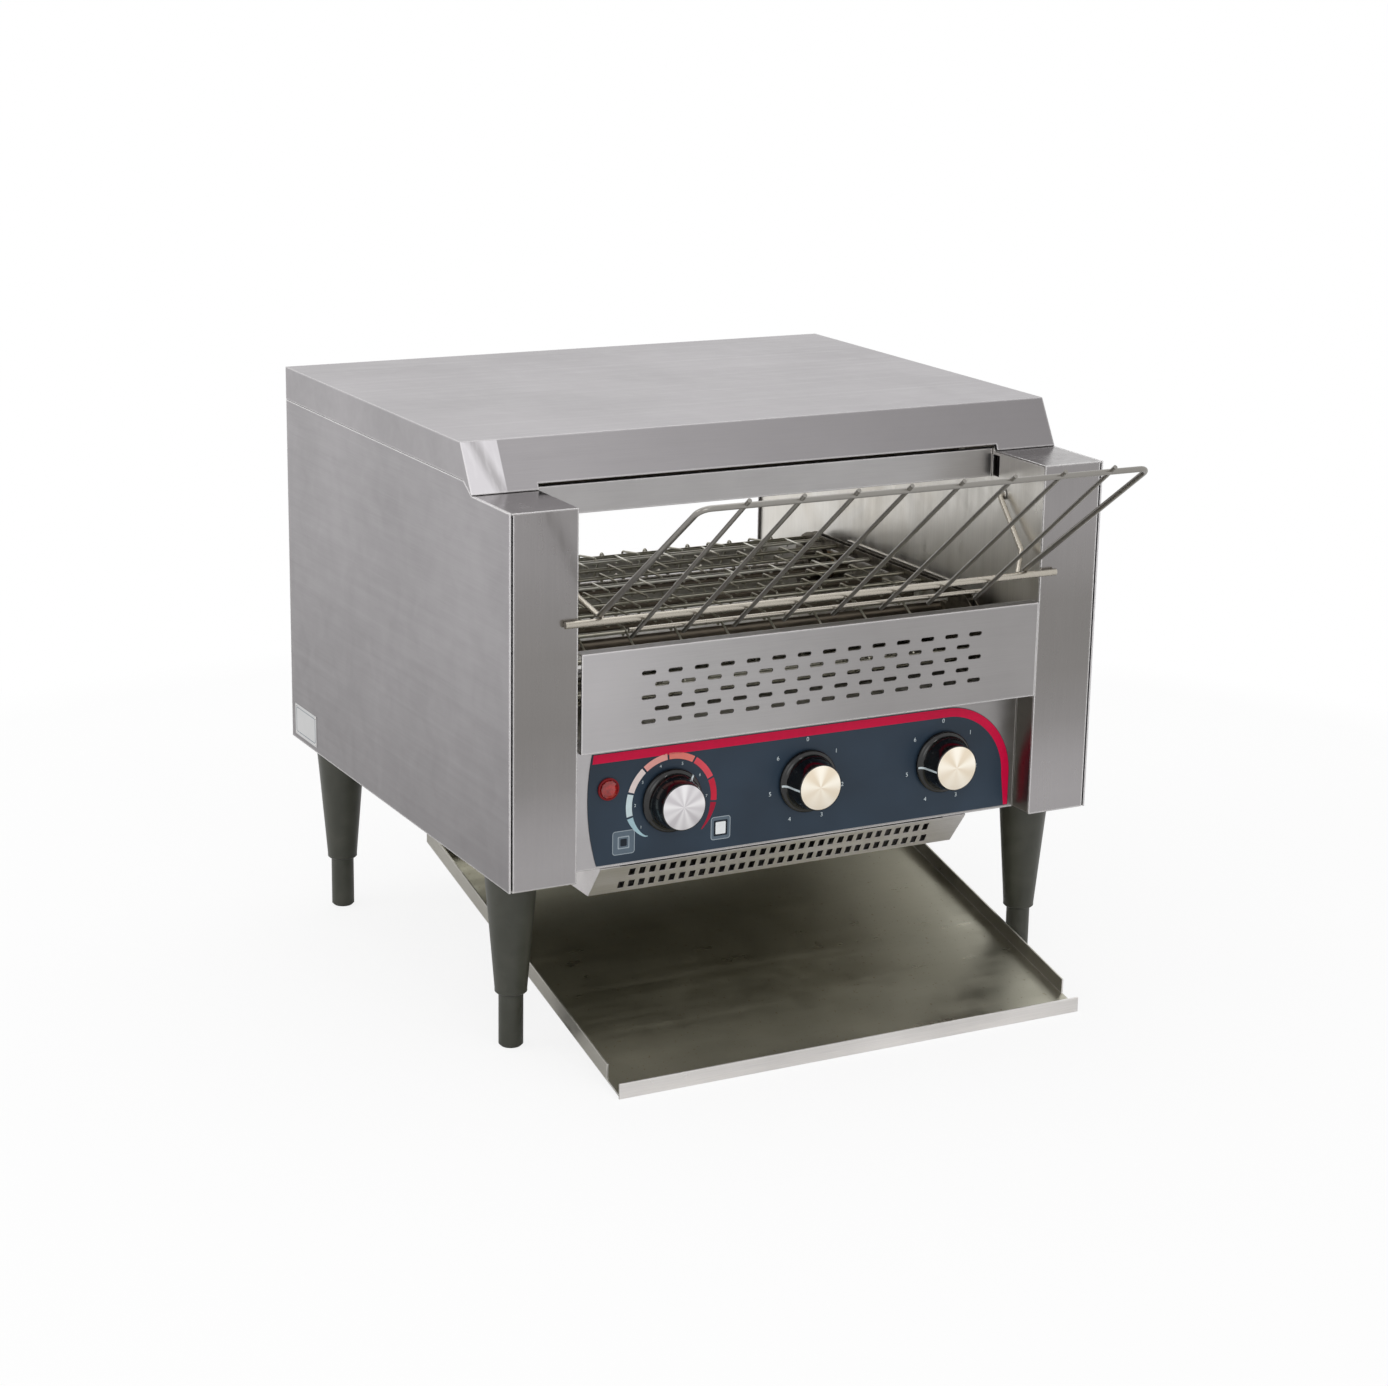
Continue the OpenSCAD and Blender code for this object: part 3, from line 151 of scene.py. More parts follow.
def lathe(form, profile, place, steps):
    """Turns a profile of (radius, height) points about local Z."""
    points, faces = [], []
    for radius, height in profile:
        for k in range(steps):
            a = 2 * math.pi * k / steps
            points.append((radius * math.cos(a), radius * math.sin(a), height))
    for i in range(len(profile) - 1):
        for k in range(steps):
            n = (k + 1) % steps
            a, b = i * steps, (i + 1) * steps
            faces.append((a + k, a + n, b + n, b + k))
    faces.append(tuple(reversed(range(steps))))
    faces.append(tuple((len(profile) - 1) * steps + k for k in range(steps)))
    return form.add(points, faces, place)


def blob(form, centre, reach):
    """A small rounded lump, its half sizes given along X, Y and Z."""
    rings, sides = 6, 10
    turns = [math.pi * (k / rings - 0.5) for k in range(1, rings)]
    place = Matrix.Translation(centre) @ Matrix.Diagonal((*reach, 1.0))
    return lathe(form, [(math.cos(t), math.sin(t)) for t in turns], place, sides)


def slab(form, outline, low, high, place):
    """An outline of (x, y) points, counter-clockwise, extruded from low to high along local Z."""
    count = len(outline)
    points = [(x, y, z) for z in (low, high) for x, y in outline]
    faces = [tuple(reversed(range(count))), tuple(range(count, 2 * count))]
    faces += [(k, (k + 1) % count, count + (k + 1) % count, count + k) for k in range(count)]
    return form.add(points, faces, place)


def band(form, inner, outer, low, high, place):
    """The strip between two open lines of as many points, extruded along local Z."""
    count = len(inner)
    points = [(x, y, z) for z in (low, high) for line in (inner, outer) for x, y in line]
    faces = []
    for k in range(count - 1):
        faces.append((2 * count + k, 3 * count + k, 3 * count + k + 1, 2 * count + k + 1))
        faces.append((k, k + 1, count + k + 1, count + k))
        faces.append((k, 2 * count + k, 2 * count + k + 1, k + 1))
        faces.append((count + k, count + k + 1, 3 * count + k + 1, 3 * count + k))
    for k in (0, count - 1):
        faces.append((k, count + k, 3 * count + k, 2 * count + k))
    return form.add(points, faces, place)


def arc(radius, first, last, steps, centre=(0.0, 0.0)):
    """Points on an arc between two angles in degrees."""
    turns = [math.radians(first + (last - first) * k / steps) for k in range(steps + 1)]
    return [(centre[0] + radius * math.cos(t), centre[1] + radius * math.sin(t)) for t in turns]


def ring(form, inner, outer, low, high, place, steps):
    """A flat washer or a tube."""
    return band(form, arc(inner, 0, 360, steps), arc(outer, 0, 360, steps), low, high, place)


def box_outline(w, h, corner):
    """A rectangle about the origin with round corners."""
    line = []
    for turn, (sx, sy) in enumerate(((1, 1), (-1, 1), (-1, -1), (1, -1))):
        centre = (sx * (w / 2 - corner), sy * (h / 2 - corner))
        line += arc(corner, turn * 90, turn * 90 + 90, 6, centre)
    return line


def border(form, w, h, corner, line_w, low, high, place):
    """A thin line inside the edge of such a rectangle."""
    outer = box_outline(w, h, corner)
    inner = box_outline(w - 2 * line_w, h - 2 * line_w, corner - line_w)
    return band(form, outer + outer[:1], inner + inner[:1], low, high, place)


def facing_front(x, z, y=PANEL_Y):
    """Local X to the right, local Y up and local Z out of the front, from a point on it."""
    return Matrix.Translation((x, y, z)) @ Matrix.Rotation(math.pi / 2, 4, "X")


def facing_rear(x, y, z):
    """Local X to the right, local Y down and local Z out of the rear, from a point on it."""
    return Matrix.Translation((x, y, z)) @ Matrix.Rotation(-math.pi / 2, 4, "X")


def facing_side(x, y, z, side=1):
    """Local Z out of the right side, or of the left one where side is -1."""
    return Matrix.Translation((x, y, z)) @ Matrix.Rotation(side * math.pi / 2, 4, "Y")


# ---- materials

class Nodes:
    """A node tree that is built up node by node."""

    def __init__(self, owner):
        owner.use_nodes = True
        self.tree = owner.node_tree

    def node(self, kind, values=(), **settings):
        """A node with its settings, its inputs filled from values or linked from sockets."""
        made = self.tree.nodes.new(kind)
        for key, value in settings.items():
            setattr(made, key, value)
        for key, value in dict(values).items():
            if isinstance(value, bpy.types.NodeSocket):
                self.tree.links.new(value, made.inputs[key])
            else:
                made.inputs[key].default_value = value
        return made

    def ranged(self, value, low, high, start=0.0, end=1.0):
        """Maps start..end of a value to low..high, and holds it there."""
        return self.node("ShaderNodeMapRange", {
            "Value": value, "From Min": start, "From Max": end,
            "To Min": low, "To Max": high}).outputs[0]

    def maths(self, operation, a, b=0.0):
        return self.node("ShaderNodeMath", {0: a, 1: b}, operation=operation).outputs[0]

    def plus(self, a, b):
        return self.maths("ADD", a, b)

    def times(self, a, b):
        return self.maths("MULTIPLY", a, b)

    def seen(self):
        """1 for what the camera sees, straight, mirrored or through glass, and 0 for its light."""
        path = self.node("ShaderNodeLightPath").outputs
        direct = self.maths("MAXIMUM", path["Is Camera Ray"], path["Is Glossy Ray"])
        return self.maths("MAXIMUM", direct, path["Is Transmission Ray"])


class Finish(Nodes):
    """A Principled material."""

    def __init__(self, name, metallic=0.0, roughness=0.5, **sockets):
        self.material = bpy.data.materials.new(name)
        super().__init__(self.material)
        self.shader = self.tree.nodes["Principled BSDF"]
        sockets.update(Metallic=metallic, Roughness=roughness)
        for socket, value in sockets.items():
            self.shader.inputs[socket.replace("_", " ")].default_value = value
        self.space = self.node("ShaderNodeTexCoord").outputs["Object"]

    def link(self, socket, name):
        self.tree.links.new(socket, self.shader.inputs[name])

    def noise(self, scale, detail, stretch=(1.0, 1.0, 1.0), distortion=0.0):
        """Noise in the part's frame, its scale in features per metre, stretched by axis."""
        mapped = self.node("ShaderNodeMapping", {"Vector": self.space, "Scale": stretch})
        return self.node("ShaderNodeTexNoise", {
            "Vector": mapped.outputs[0], "Scale": scale, "Detail": detail,
            "Distortion": distortion}).outputs["Fac"]

    def varied(self, noise, low, high):
        """Maps the middle of a noise's range to low..high."""
        return self.ranged(noise, low, high, 0.3, 0.7)

    def mixed(self, factor, a, b):
        """Two colours, each a socket or a colour code, mixed by a factor."""
        made = self.node("ShaderNodeMix", {"Factor": factor}, data_type="RGBA")
        for socket, value in zip((made.inputs[6], made.inputs[7]), (a, b)):
            if isinstance(value, bpy.types.NodeSocket):
                self.tree.links.new(value, socket)
            else:
                socket.default_value = colour(value) if isinstance(value, str) else value
        return made.outputs[2]

    def axis(self, name):
        """One coordinate of the part's frame."""
        return self.node("ShaderNodeSeparateXYZ", {"Vector": self.space}).outputs[name]

    def normal(self, name):
        """One component of the surface's own direction."""
        facing = self.node("ShaderNodeNewGeometry").outputs["Normal"]
        return self.node("ShaderNodeSeparateXYZ", {"Vector": facing}).outputs[name]

    def off(self, axis, at):
        """The distance from a plane across one axis of the part's frame."""
        return self.maths("ABSOLUTE", self.maths("SUBTRACT", self.axis(axis), at))

    def above_base(self, low, high, start, end):
        """Maps heights of start..end above the body's underside to low..high."""
        return self.ranged(self.axis("Z"), low, high, BASE_Z + start, BASE_Z + end)

    def facing_sides(self, share):
        """A share where the surface faces left or right, and 0 elsewhere."""
        return self.ranged(self.maths("ABSOLUTE", self.normal("X")), 0.0, share, 0.5, 0.9)

    def bump(self, height, strength, distance, under=None):
        values = {"Height": height, "Strength": strength, "Distance": distance}
        if under is not None:
            values["Normal"] = under
        return self.node("ShaderNodeBump", values).outputs[0]

    def soft_edges(self, radius):
        """A normal that rounds sheet edges a little, so that they catch the light."""
        return self.node("ShaderNodeBevel", {"Radius": radius}, samples=4).outputs[0]

    def rims(self, radius):
        """1 along the sheet's edges and folds, and 0 on its flats."""
        facing = self.node("ShaderNodeNewGeometry").outputs["True Normal"]
        turned = self.node("ShaderNodeVectorMath", {0: self.soft_edges(radius), 1: facing},
                           operation="DOT_PRODUCT").outputs["Value"]
        return self.ranged(turned, 1.0, 0.0, 0.82, 0.98)


# A painted highlight along sheet edges and folds: its width and its colour.
EDGE_HIGHLIGHT_W = 2.0 * MM           # width of the painted highlight along edges and folds
EDGE_HIGHLIGHT_COLOUR = "#f6f4f4"
STREAKS = {"X": (0.02, 1.0, 1.0), "Y": (1.0, 0.02, 1.0), "Z": (1.0, 1.0, 0.02)}


def brushed(name, base, streaks, roughness, spread, edge=0.0006, tone=None, rim=0.0, highlight_where=None):
    """Brushed sheet steel: fine streaks, longer faint bands, soft blotches and soft edges.

    tone, if given, takes the finish and a colour socket and returns a changed one; rim is how
    much painted highlight the edges and folds get, and the last argument, if given, says where.
    """
    band_spread, blotch_spread = 0.7 * spread, 0.07
    f = Finish(name, metallic=1.0)
    fine = f.noise(1500.0, 2.0, STREAKS[streaks])
    bands = f.noise(170.0, 2.0, STREAKS[streaks])
    blotch = f.noise(9.0, 3.0)
    smear = f.noise(38.0, 4.0, distortion=0.6)
    light = f.plus(f.varied(fine, -spread, spread), f.varied(bands, -band_spread, band_spread))
    light = f.plus(light, f.varied(blotch, -blotch_spread, blotch_spread))
    shade = f.node("ShaderNodeHueSaturation", {
        "Value": f.plus(light, 1.0), "Color": colour(base)}).outputs[0]
    if tone:
        shade = tone(f, shade)
    # Painted highlight along the sheet's edges and folds.
    if rim:
        edges = f.times(f.rims(EDGE_HIGHLIGHT_W), rim)
        if highlight_where:
            edges = f.times(edges, highlight_where(f))
        shade = f.mixed(edges, shade, EDGE_HIGHLIGHT_COLOUR)
    f.link(shade, "Base Color")
    f.link(f.plus(f.varied(bands, roughness - 0.05, roughness + 0.05),
                  f.ranged(smear, -0.03, 0.06, 0.35, 0.7)), "Roughness")
    grain = f.bump(fine, 0.12, 0.00006, f.soft_edges(edge))
    f.link(f.bump(f.noise(6.0, 1.0), 0.25, 0.0012, grain), "Normal")
    return f.material


def hood_tone(f, shade):
    """The ground weld at the hood's left front corner, brighter and crossed by a dull band; painted
    shade darkens the front slope towards the right.
    """
    patch_w, patch_back, fade = 27 * MM, 81 * MM, 0.5 * MM
    lean = 0.45                                  # sideways drift of the dull band over its height
    band_in, band_down = 9 * MM, 20 * MM         # where it passes: from the patch's edge, the top
    edge = -HALF_W + patch_w
    side = f.ranged(f.axis("X"), 1.0, 0.0, edge - fade, edge)
    slope = f.ranged(f.axis("Y"), 1.0, 0.0, FRONT_Y + patch_back - fade, FRONT_Y + patch_back)
    across = f.plus(f.axis("X"), f.times(f.axis("Z"), lean))
    band_at = edge - band_in + lean * (TOP_Z - band_down)
    off_band = f.maths("ABSOLUTE", f.maths("SUBTRACT", across, band_at))
    bright = f.mixed(f.ranged(off_band, 0.0, 1.0, 1.5 * MM, 7 * MM), "#aeabad", "#d0cdd0")
    scratch = f.noise(300.0, 3.0, (1.0, 0.3, 0.12))
    bright = f.mixed(f.ranged(scratch, 0.0, 0.3, 0.45, 0.7), bright, "#e0dee0")
    front = f.times(slope, f.ranged(f.normal("Y"), 1.0, 0.0, -0.4, -0.2))
    far = f.ranged(f.axis("X"), 0.25, 0.9, -150 * MM, HALF_W)    # painted shade: the slope darkens to the right
    shade = f.mixed(f.times(far, front), shade, "#858283")
    return f.mixed(f.times(side, front), shade, bright)


def side_tone(f, shade):
    """Painted shade: the side panels darken towards the bottom."""
    return f.mixed(f.above_base(0.75, 0.0, 10 * MM, 250 * MM), shade, "#7f7c7d")


def pillar_tone(f, shade):
    """Painted light and shade on the pillars: darker beside the panels and on their flanks, and
    lighter at the foot.
    """
    painted_shade_z = BASE_Z + 135 * MM
    # Painted shade at the height of the panels.
    dull = f.ranged(f.off("Z", painted_shade_z), 0.5, 0.0, 25 * MM, 95 * MM)
    shade = f.mixed(dull, shade, "#6f6c67")
    # Painted light at the foot.
    shade = f.mixed(f.above_base(0.5, 0.0, 15 * MM, 70 * MM), shade, "#b0adae")
    # Painted shade on the faces that look left or right.
    return f.mixed(f.facing_sides(0.75), shade, "#565347")


def panel_tone(f, shade):
    """Painted light and shade: the vent and control panels are lighter on the left than on the
    right.
    """
    panels = f.above_base(1.0, 0.0, 165 * MM, 175 * MM)          # all that is below the header
    left = f.ranged(f.axis("X"), 0.5, 0.0, -170 * MM, -90 * MM)
    right = f.ranged(f.axis("X"), 0.0, 0.55, -100 * MM, 50 * MM)
    shade = f.mixed(f.times(panels, left), shade, "#bcb9bb")
    return f.mixed(f.times(panels, right), shade, "#868382")


def outside_slots(f):
    """1 but for the field of slots in the vent panel, whose punched edges get no painted highlight.
    """
    half_w, half_h, fade = 148 * MM, 22 * MM, 2 * MM
    beside = f.ranged(f.off("X", 0.0), 0.0, 1.0, half_w, half_w + fade)
    above = f.ranged(f.off("Z", middle("vent_panel").z), 0.0, 1.0, half_h, half_h + fade)
    return f.maths("MAXIMUM", beside, above)


def warm_tone(f, shade):
    """Straw heat tint in the tunnel's heated part, and painted shade on the flanks beside the
    control panel.
    """
    heated = f.times(f.above_base(0.0, 1.0, 110 * MM, 230 * MM),
                     f.ranged(f.axis("Y"), 0.0, 1.0, FRONT_Y + 90 * MM, FRONT_Y + 220 * MM))
    cloud = f.ranged(f.noise(22.0, 4.0, distortion=1.0), 0.0, 0.4, 0.35, 0.7)
    shade = f.mixed(f.times(heated, cloud), shade, "#a08c68")
    # Painted shade in the recess beside the control panel, under the vent panel.
    recess_shade = f.times(f.ranged(f.axis("Y"), 0.85, 0.0, PANEL_Y - 0.5 * MM, PANEL_Y),
                    f.above_base(1.0, 0.0, 88 * MM, 92 * MM))
    return f.mixed(recess_shade, shade, "#4b483c")


def tray_tone(f, shade):
    """The tray's inside is dark, lighter to the right and strewn with crumbs; its rims stay bright,
    and painted shade darkens the faces that look left or right.
    """
    lip, fade = 1.3 * MM, 0.9 * MM
    up = f.ranged(f.normal("Z"), 0.0, 1.0, 0.5, 0.9)
    behind_lip = f.ranged(f.axis("Y"), 0.0, 1.0, TRAY_LIP_Y + lip, TRAY_LIP_Y + lip + fade)
    dark = f.mixed(f.ranged(f.noise(9.0, 5.0, distortion=0.5), 0.0, 1.0, 0.35, 0.68),
                   "#918f7e", "#a3a08e")
    dark = f.mixed(f.ranged(f.axis("X"), 0.0, 0.6, 20 * MM, 200 * MM), dark, "#bfbdb0")
    crumbs = f.ranged(f.noise(420.0, 2.0), 0.0, 0.4, 0.66, 0.74)
    dark = f.mixed(crumbs, dark, "#6a5534")
    # Painted shade on the faces that look left or right.
    shade = f.mixed(f.facing_sides(0.7), shade, "#8a8779")
    return f.mixed(f.times(up, behind_lip), shade, dark)


def vent_tone(f, shade):
    """The grille's vents look into the dark, so what lies behind the slope's skin gets painted
    shade.

    Its end caps and its folded foot stay bright.
    """
    run, drop = 19.5 * MM, 25.5 * MM                          # of the slope
    top_y, top_z = PANEL_Y + 0.6 * MM, BASE_Z - 1.1 * MM      # its upper edge
    middle_x, half_w = -8 * MM, 132 * MM                      # of the part between the caps
    reach, foot_z = math.hypot(run, drop), top_z - drop
    back = f.times(f.maths("SUBTRACT", f.axis("Y"), top_y), drop / reach)
    up = f.times(f.maths("SUBTRACT", f.axis("Z"), top_z), run / reach)
    behind = f.ranged(f.plus(back, up), 0.0, 1.0, 0.25 * MM, 0.5 * MM)
    above_foot = f.ranged(f.axis("Z"), 0.0, 1.0, foot_z + 2 * MM, foot_z + 3 * MM)
    between = f.ranged(f.off("X", middle_x), 1.0, 0.0, half_w, half_w + 1 * MM)
    deep = f.times(f.times(behind, above_foot), between)
    return f.mixed(deep, shade, "#1c1b19")


def belt_tone(f, shade):
    """Painted light: the belt is lighter in two bands across it, and darker between them."""
    half_w, fade = 7 * MM, 6 * MM
    for behind_front in (202 * MM, 279 * MM):
        off = f.off("Y", FRONT_Y + behind_front)
        shade = f.mixed(f.ranged(off, 1.0, 0.0, half_w, half_w + fade), shade, "#f4f3ea")
    return shade


def wire_metal(name, base, roughness, spotted=0.25, tone=None):
    """Plated wire: bright, with drawn lines and small dull spots."""
    f = Finish(name, metallic=1.0)
    spots = f.noise(220.0, 4.0)
    shade = f.mixed(f.ranged(spots, 0.0, spotted, 0.5, 0.8), base, "#6f695e")
    f.link(tone(f, shade) if tone else shade, "Base Color")
    f.link(f.ranged(spots, roughness, roughness + 0.12, 0.4, 0.75), "Roughness")
    f.link(f.bump(f.noise(900.0, 2.0), 0.08, 0.00005), "Normal")
    return f.material


def oxide_metal(name, base, other, roughness=0.5, scale=120.0):
    """Dark working metal: oil film and oxide in two tones."""
    f = Finish(name, metallic=1.0)
    film = f.noise(scale, 4.0, distortion=0.4)
    f.link(f.mixed(f.ranged(film, 0.0, 1.0, 0.35, 0.65), base, other), "Base Color")
    f.link(f.varied(film, roughness - 0.12, roughness + 0.12), "Roughness")
    f.link(f.bump(f.noise(700.0, 3.0), 0.2, 0.0001, f.soft_edges(0.0003)), "Normal")
    return f.material


def moulded(name, base, roughness, grain=900.0, depth=0.15, coat=0.0, wear=0.16):
    """Moulded plastic: fine grain, uneven gloss and faint handling marks."""
    f = Finish(name, roughness=roughness, Coat_Weight=coat, Coat_Roughness=0.06)
    marks = f.noise(45.0, 4.0, distortion=0.5)
    f.link(f.mixed(f.ranged(marks, 0.0, wear, 0.4, 0.75), base, "#6d6b62"), "Base Color")
    f.link(f.varied(marks, roughness - 0.06, roughness + 0.1), "Roughness")
    f.link(f.bump(f.noise(grain, 3.0), depth, 0.0001, f.soft_edges(0.0005)), "Normal")
    return f.material


def printed_film():
    """The overlay's polycarbonate film: slate blue with a very fine texture."""
    f = Finish("overlay_film", roughness=0.4, Specular_IOR_Level=0.3)
    cloud = f.noise(20.0, 2.0)
    f.link(f.mixed(f.varied(cloud, 0.0, 1.0), "#23313f", "#2a3a4a"), "Base Color")
    f.link(f.bump(f.noise(2600.0, 1.0), 0.15, 0.00005), "Normal")
    return f.material


def ink(name, base):
    """Screen-printed ink on the overlay, slightly uneven."""
    f = Finish(name, roughness=0.45, Specular_IOR_Level=0.2)
    cloud = f.noise(240.0, 3.0)
    darker = tuple(0.88 * c for c in colour(base)[:3]) + (1.0,)
    f.link(f.mixed(f.ranged(cloud, 0.0, 0.6, 0.35, 0.7), base, darker), "Base Color")
    f.link(f.bump(f.noise(2600.0, 1.0), 0.1, 0.00004), "Normal")
    return f.material


def spun_metal(centre, name, base, dark, rays, roughness):
    """A turned cap: fine rings, and soft rays of painted reflection about its middle."""
    f = Finish(name, metallic=1.0, roughness=roughness, Anisotropic=0.5)
    around = f.node("ShaderNodeVectorMath", {0: f.space, 1: centre},
                    operation="SUBTRACT").outputs[0]
    split = f.node("ShaderNodeSeparateXYZ", {"Vector": around}).outputs
    turn = f.maths("ARCTAN2", split["Z"], split["X"])
    radius = f.maths("SQRT", f.plus(f.maths("POWER", split["X"], 2.0),
                                    f.maths("POWER", split["Z"], 2.0)))
    # Painted reflection: rays that turn about the cap's middle.
    wave = f.maths("SINE", f.times(turn, rays))
    wobble = f.maths("SINE", f.plus(f.times(turn, 4.0), 1.3))
    reflection_rays = f.ranged(f.plus(wave, f.times(wobble, 0.8)), 0.0, 1.0, -1.4, 1.6)
    f.link(f.mixed(reflection_rays, dark, base), "Base Color")
    rings = f.node("ShaderNodeTexNoise", {"W": f.times(radius, 9000.0), "Scale": 1.0},
                   noise_dimensions="1D").outputs["Fac"]
    f.link(f.bump(rings, 0.1, 0.00003), "Normal")
    return f.material


def lens_red():
    """The indicator's clear red lens."""
    f = Finish("lens_red", roughness=0.12, Coat_Weight=0.6, Coat_Roughness=0.03, IOR=1.5)
    glow = f.noise(160.0, 2.0)
    cloudy = f.ranged(glow, 0.0, 1.0, 0.35, 0.65)
    f.link(f.mixed(cloudy, "#700a0c", "#b01a13"), "Base Color")
    f.link(f.bump(glow, 0.1, 0.0002), "Normal")
    return f.material


def ceramic():
    """Glazed ceramic of the insulators."""
    f = Finish("ceramic", roughness=0.25, Coat_Weight=0.4)
    cloud = f.noise(150.0, 3.0)
    f.link(f.mixed(f.varied(cloud, 0.0, 1.0), "#dcd8cc", "#efece2"), "Base Color")
    f.link(f.bump(cloud, 0.1, 0.0002), "Normal")
    return f.material


# The rim numbers paint a highlight along edges and folds.
steel_top = brushed("steel_hood", "#a3a0a2", "X", 0.40, 0.025, 0.0012, hood_tone, 0.6)
steel_side = brushed("steel_side", "#a19ea0", "Y", 0.42, 0.03, 0.0010, side_tone, 1.0)
# Pillar steel: its base is darker than the other sheet steel, painted shade.
steel_front = brushed("steel_front", "#908d8d", "Z", 0.22, 0.02, 0.0010, pillar_tone, 1.0)
steel_panel = brushed("steel_panel", "#a8a6a6", "X", 0.38, 0.03, 0.0008, panel_tone, 0.9,
                      outside_slots)
# Grille steel: its base is far lighter than the other sheet steel, painted light against the dark
# it reflects.
steel_grille = brushed("steel_grille", "#e4e1e1", "X", 0.5, 0.04, 0.0003, vent_tone)
# Tunnel steel: its base is lighter than the other sheet steel, painted light in the enclosed
# tunnel.
steel_inner = brushed("steel_inner", "#dcd9d3", "Z", 0.34, 0.04, tone=warm_tone, rim=0.4)
steel_dull = brushed("steel_dull", "#cfcdc7", "Y", 0.45, 0.08)
# Tray steel: its base is lighter than the other sheet steel, painted light against the shade under
# the body.
steel_tray = brushed("steel_tray", "#e8e5e2", "X", 0.34, 0.04, tone=tray_tone, rim=0.4)
plate_blank = brushed("plate_blank", "#c9c9c9", "X", 0.45, 0.04, edge=0.0001)
rack_plating = wire_metal("rack_plating", "#8f8c87", 0.28, 0.06)
rest_plating = wire_metal("rest_plating", "#b3ada2", 0.24, 0.08)
belt_metal = wire_metal("belt_metal", "#b3b0a2", 0.34, tone=belt_tone)
bright_metal = wire_metal("bright_metal", "#c4c2c0", 0.2)
chain_metal = oxide_metal("chain_metal", "#7a7468", "#58524a", 0.45)
element_metal = oxide_metal("element_metal", "#6f675c", "#80776a", 0.5, 60.0)
bush_metal = oxide_metal("bush_metal", "#a3824f", "#7d6039", 0.42)
motor_paint = moulded("motor_paint", "#3b3d40", 0.4, 500.0)
leg_plastic = moulded("leg_plastic", "#34352c", 0.38, 700.0, 0.12)
black_plastic = moulded("black_plastic", "#1d1d1e", 0.5)
knob_plastic = moulded("knob_plastic", "#08090b", 0.12, 1500.0, 0.03, coat=0.15, wear=0.05)
overlay_film = printed_film()
ink_stripe = ink("ink_stripe", "#d80042")
ink_white = ink("ink_white", "#d7e2e6")
ink_grey = ink("ink_grey", "#5f6d79")
ink_line = ink("ink_line", "#a3aeb6")
lamp_red = lens_red()
glazed = ceramic()

NODE_FINISH = {
    steel_top: "hood",
    steel_side: "left_side_panel right_side_panel",
    steel_front: "left_pillar right_pillar",
    steel_panel: "vent_panel control_panel front_header rear_panel",
    steel_grille: "lower_grille",
    steel_inner: "left_inner_wall right_inner_wall upper_reflector lower_reflector belt_rails",
    steel_dull: "left_base_rail right_base_rail electronics_floor heat_shield toast_chute",
    steel_tray: "toast_tray",
    plate_blank: "rating_plate",
    rack_plating: "rack_frame rack_wires",
    rest_plating: "rack_bars rack_arms",
    belt_metal: "belt_rods",
    bright_metal: "cover_screws drive_shaft idler_shaft speed_spindle upper_spindle lower_spindle",
    chain_metal: "left_belt_chain right_belt_chain drive_chain rear_sprockets front_sprockets "
                 "driven_wheel motor_wheel",
    element_metal: "upper_elements lower_elements",
    bush_metal: "shaft_bushes",
    motor_paint: "gear_motor",
    leg_plastic: "legs foot_front_left foot_front_right foot_rear_left foot_rear_right",
    black_plastic: "cable_gland fan_frame fan_impeller rotary_controls lamp_body",
    knob_plastic: "speed_knob upper_knob lower_knob",
    overlay_film: "control_overlay",
    lamp_red: "lamp_lens",
    glazed: "element_insulators",
}

for finish, nodes in NODE_FINISH.items():
    for node in nodes.split():
        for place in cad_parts[node].material_slots:
            place.material = finish


# ---- printed overlay

PRINT = 0.08 * MM          # thickness of a printed piece


def overlay_print():
    """The crimson stripe that follows the overlay's upper edge and its round corner."""
    low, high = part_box("control_overlay")
    stripe_w, corner, inset = 6.4 * MM, 56 * MM, 0.4 * MM
    start, slant = 4.2 * MM, 0.9 * MM            # where the stripe starts, and how its end slants
    foot_share = 0.55                            # its width at the lower end
    centre = (high[0] - corner, high[2] - corner)
    outer_r = corner - inset
    top, right = high[2] - inset, high[0] - inset
    outer = [(low[0] + start, top), *arc(outer_r, 90, 0, 32, centre), (right, low[2] + inset)]
    inner = [(low[0] + start - slant, top - stripe_w), *arc(outer_r - stripe_w, 90, 0, 32, centre),
             (right - foot_share * stripe_w, low[2] + inset)]
    form = band(Form(), outer, inner, 0.0, PRINT, facing_front(0, 0))
    form.piece("overlay_stripe", "casing", "overlay", ink_stripe, smooth=False)


def dial(name, x, z, radius, digits, size):
    """Plain numbers around a knob, each given with its angle."""
    for k, (value, angle) in enumerate(digits):
        a = math.radians(angle)
        curve = bpy.data.curves.new(f"{name}_number_{k}", "FONT")
        curve.body = str(value)
        curve.size = size
        curve.align_x, curve.align_y = "CENTER", "CENTER"
        curve.extrude = PRINT / 2
        curve.materials.append(ink_white)
        digit = placed(f"{name}_number_{k}", curve)
        digit.matrix_world = facing_front(x + radius * math.cos(a), z + radius * math.sin(a),
                                          PANEL_Y - PRINT / 2)
        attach(digit, "casing")


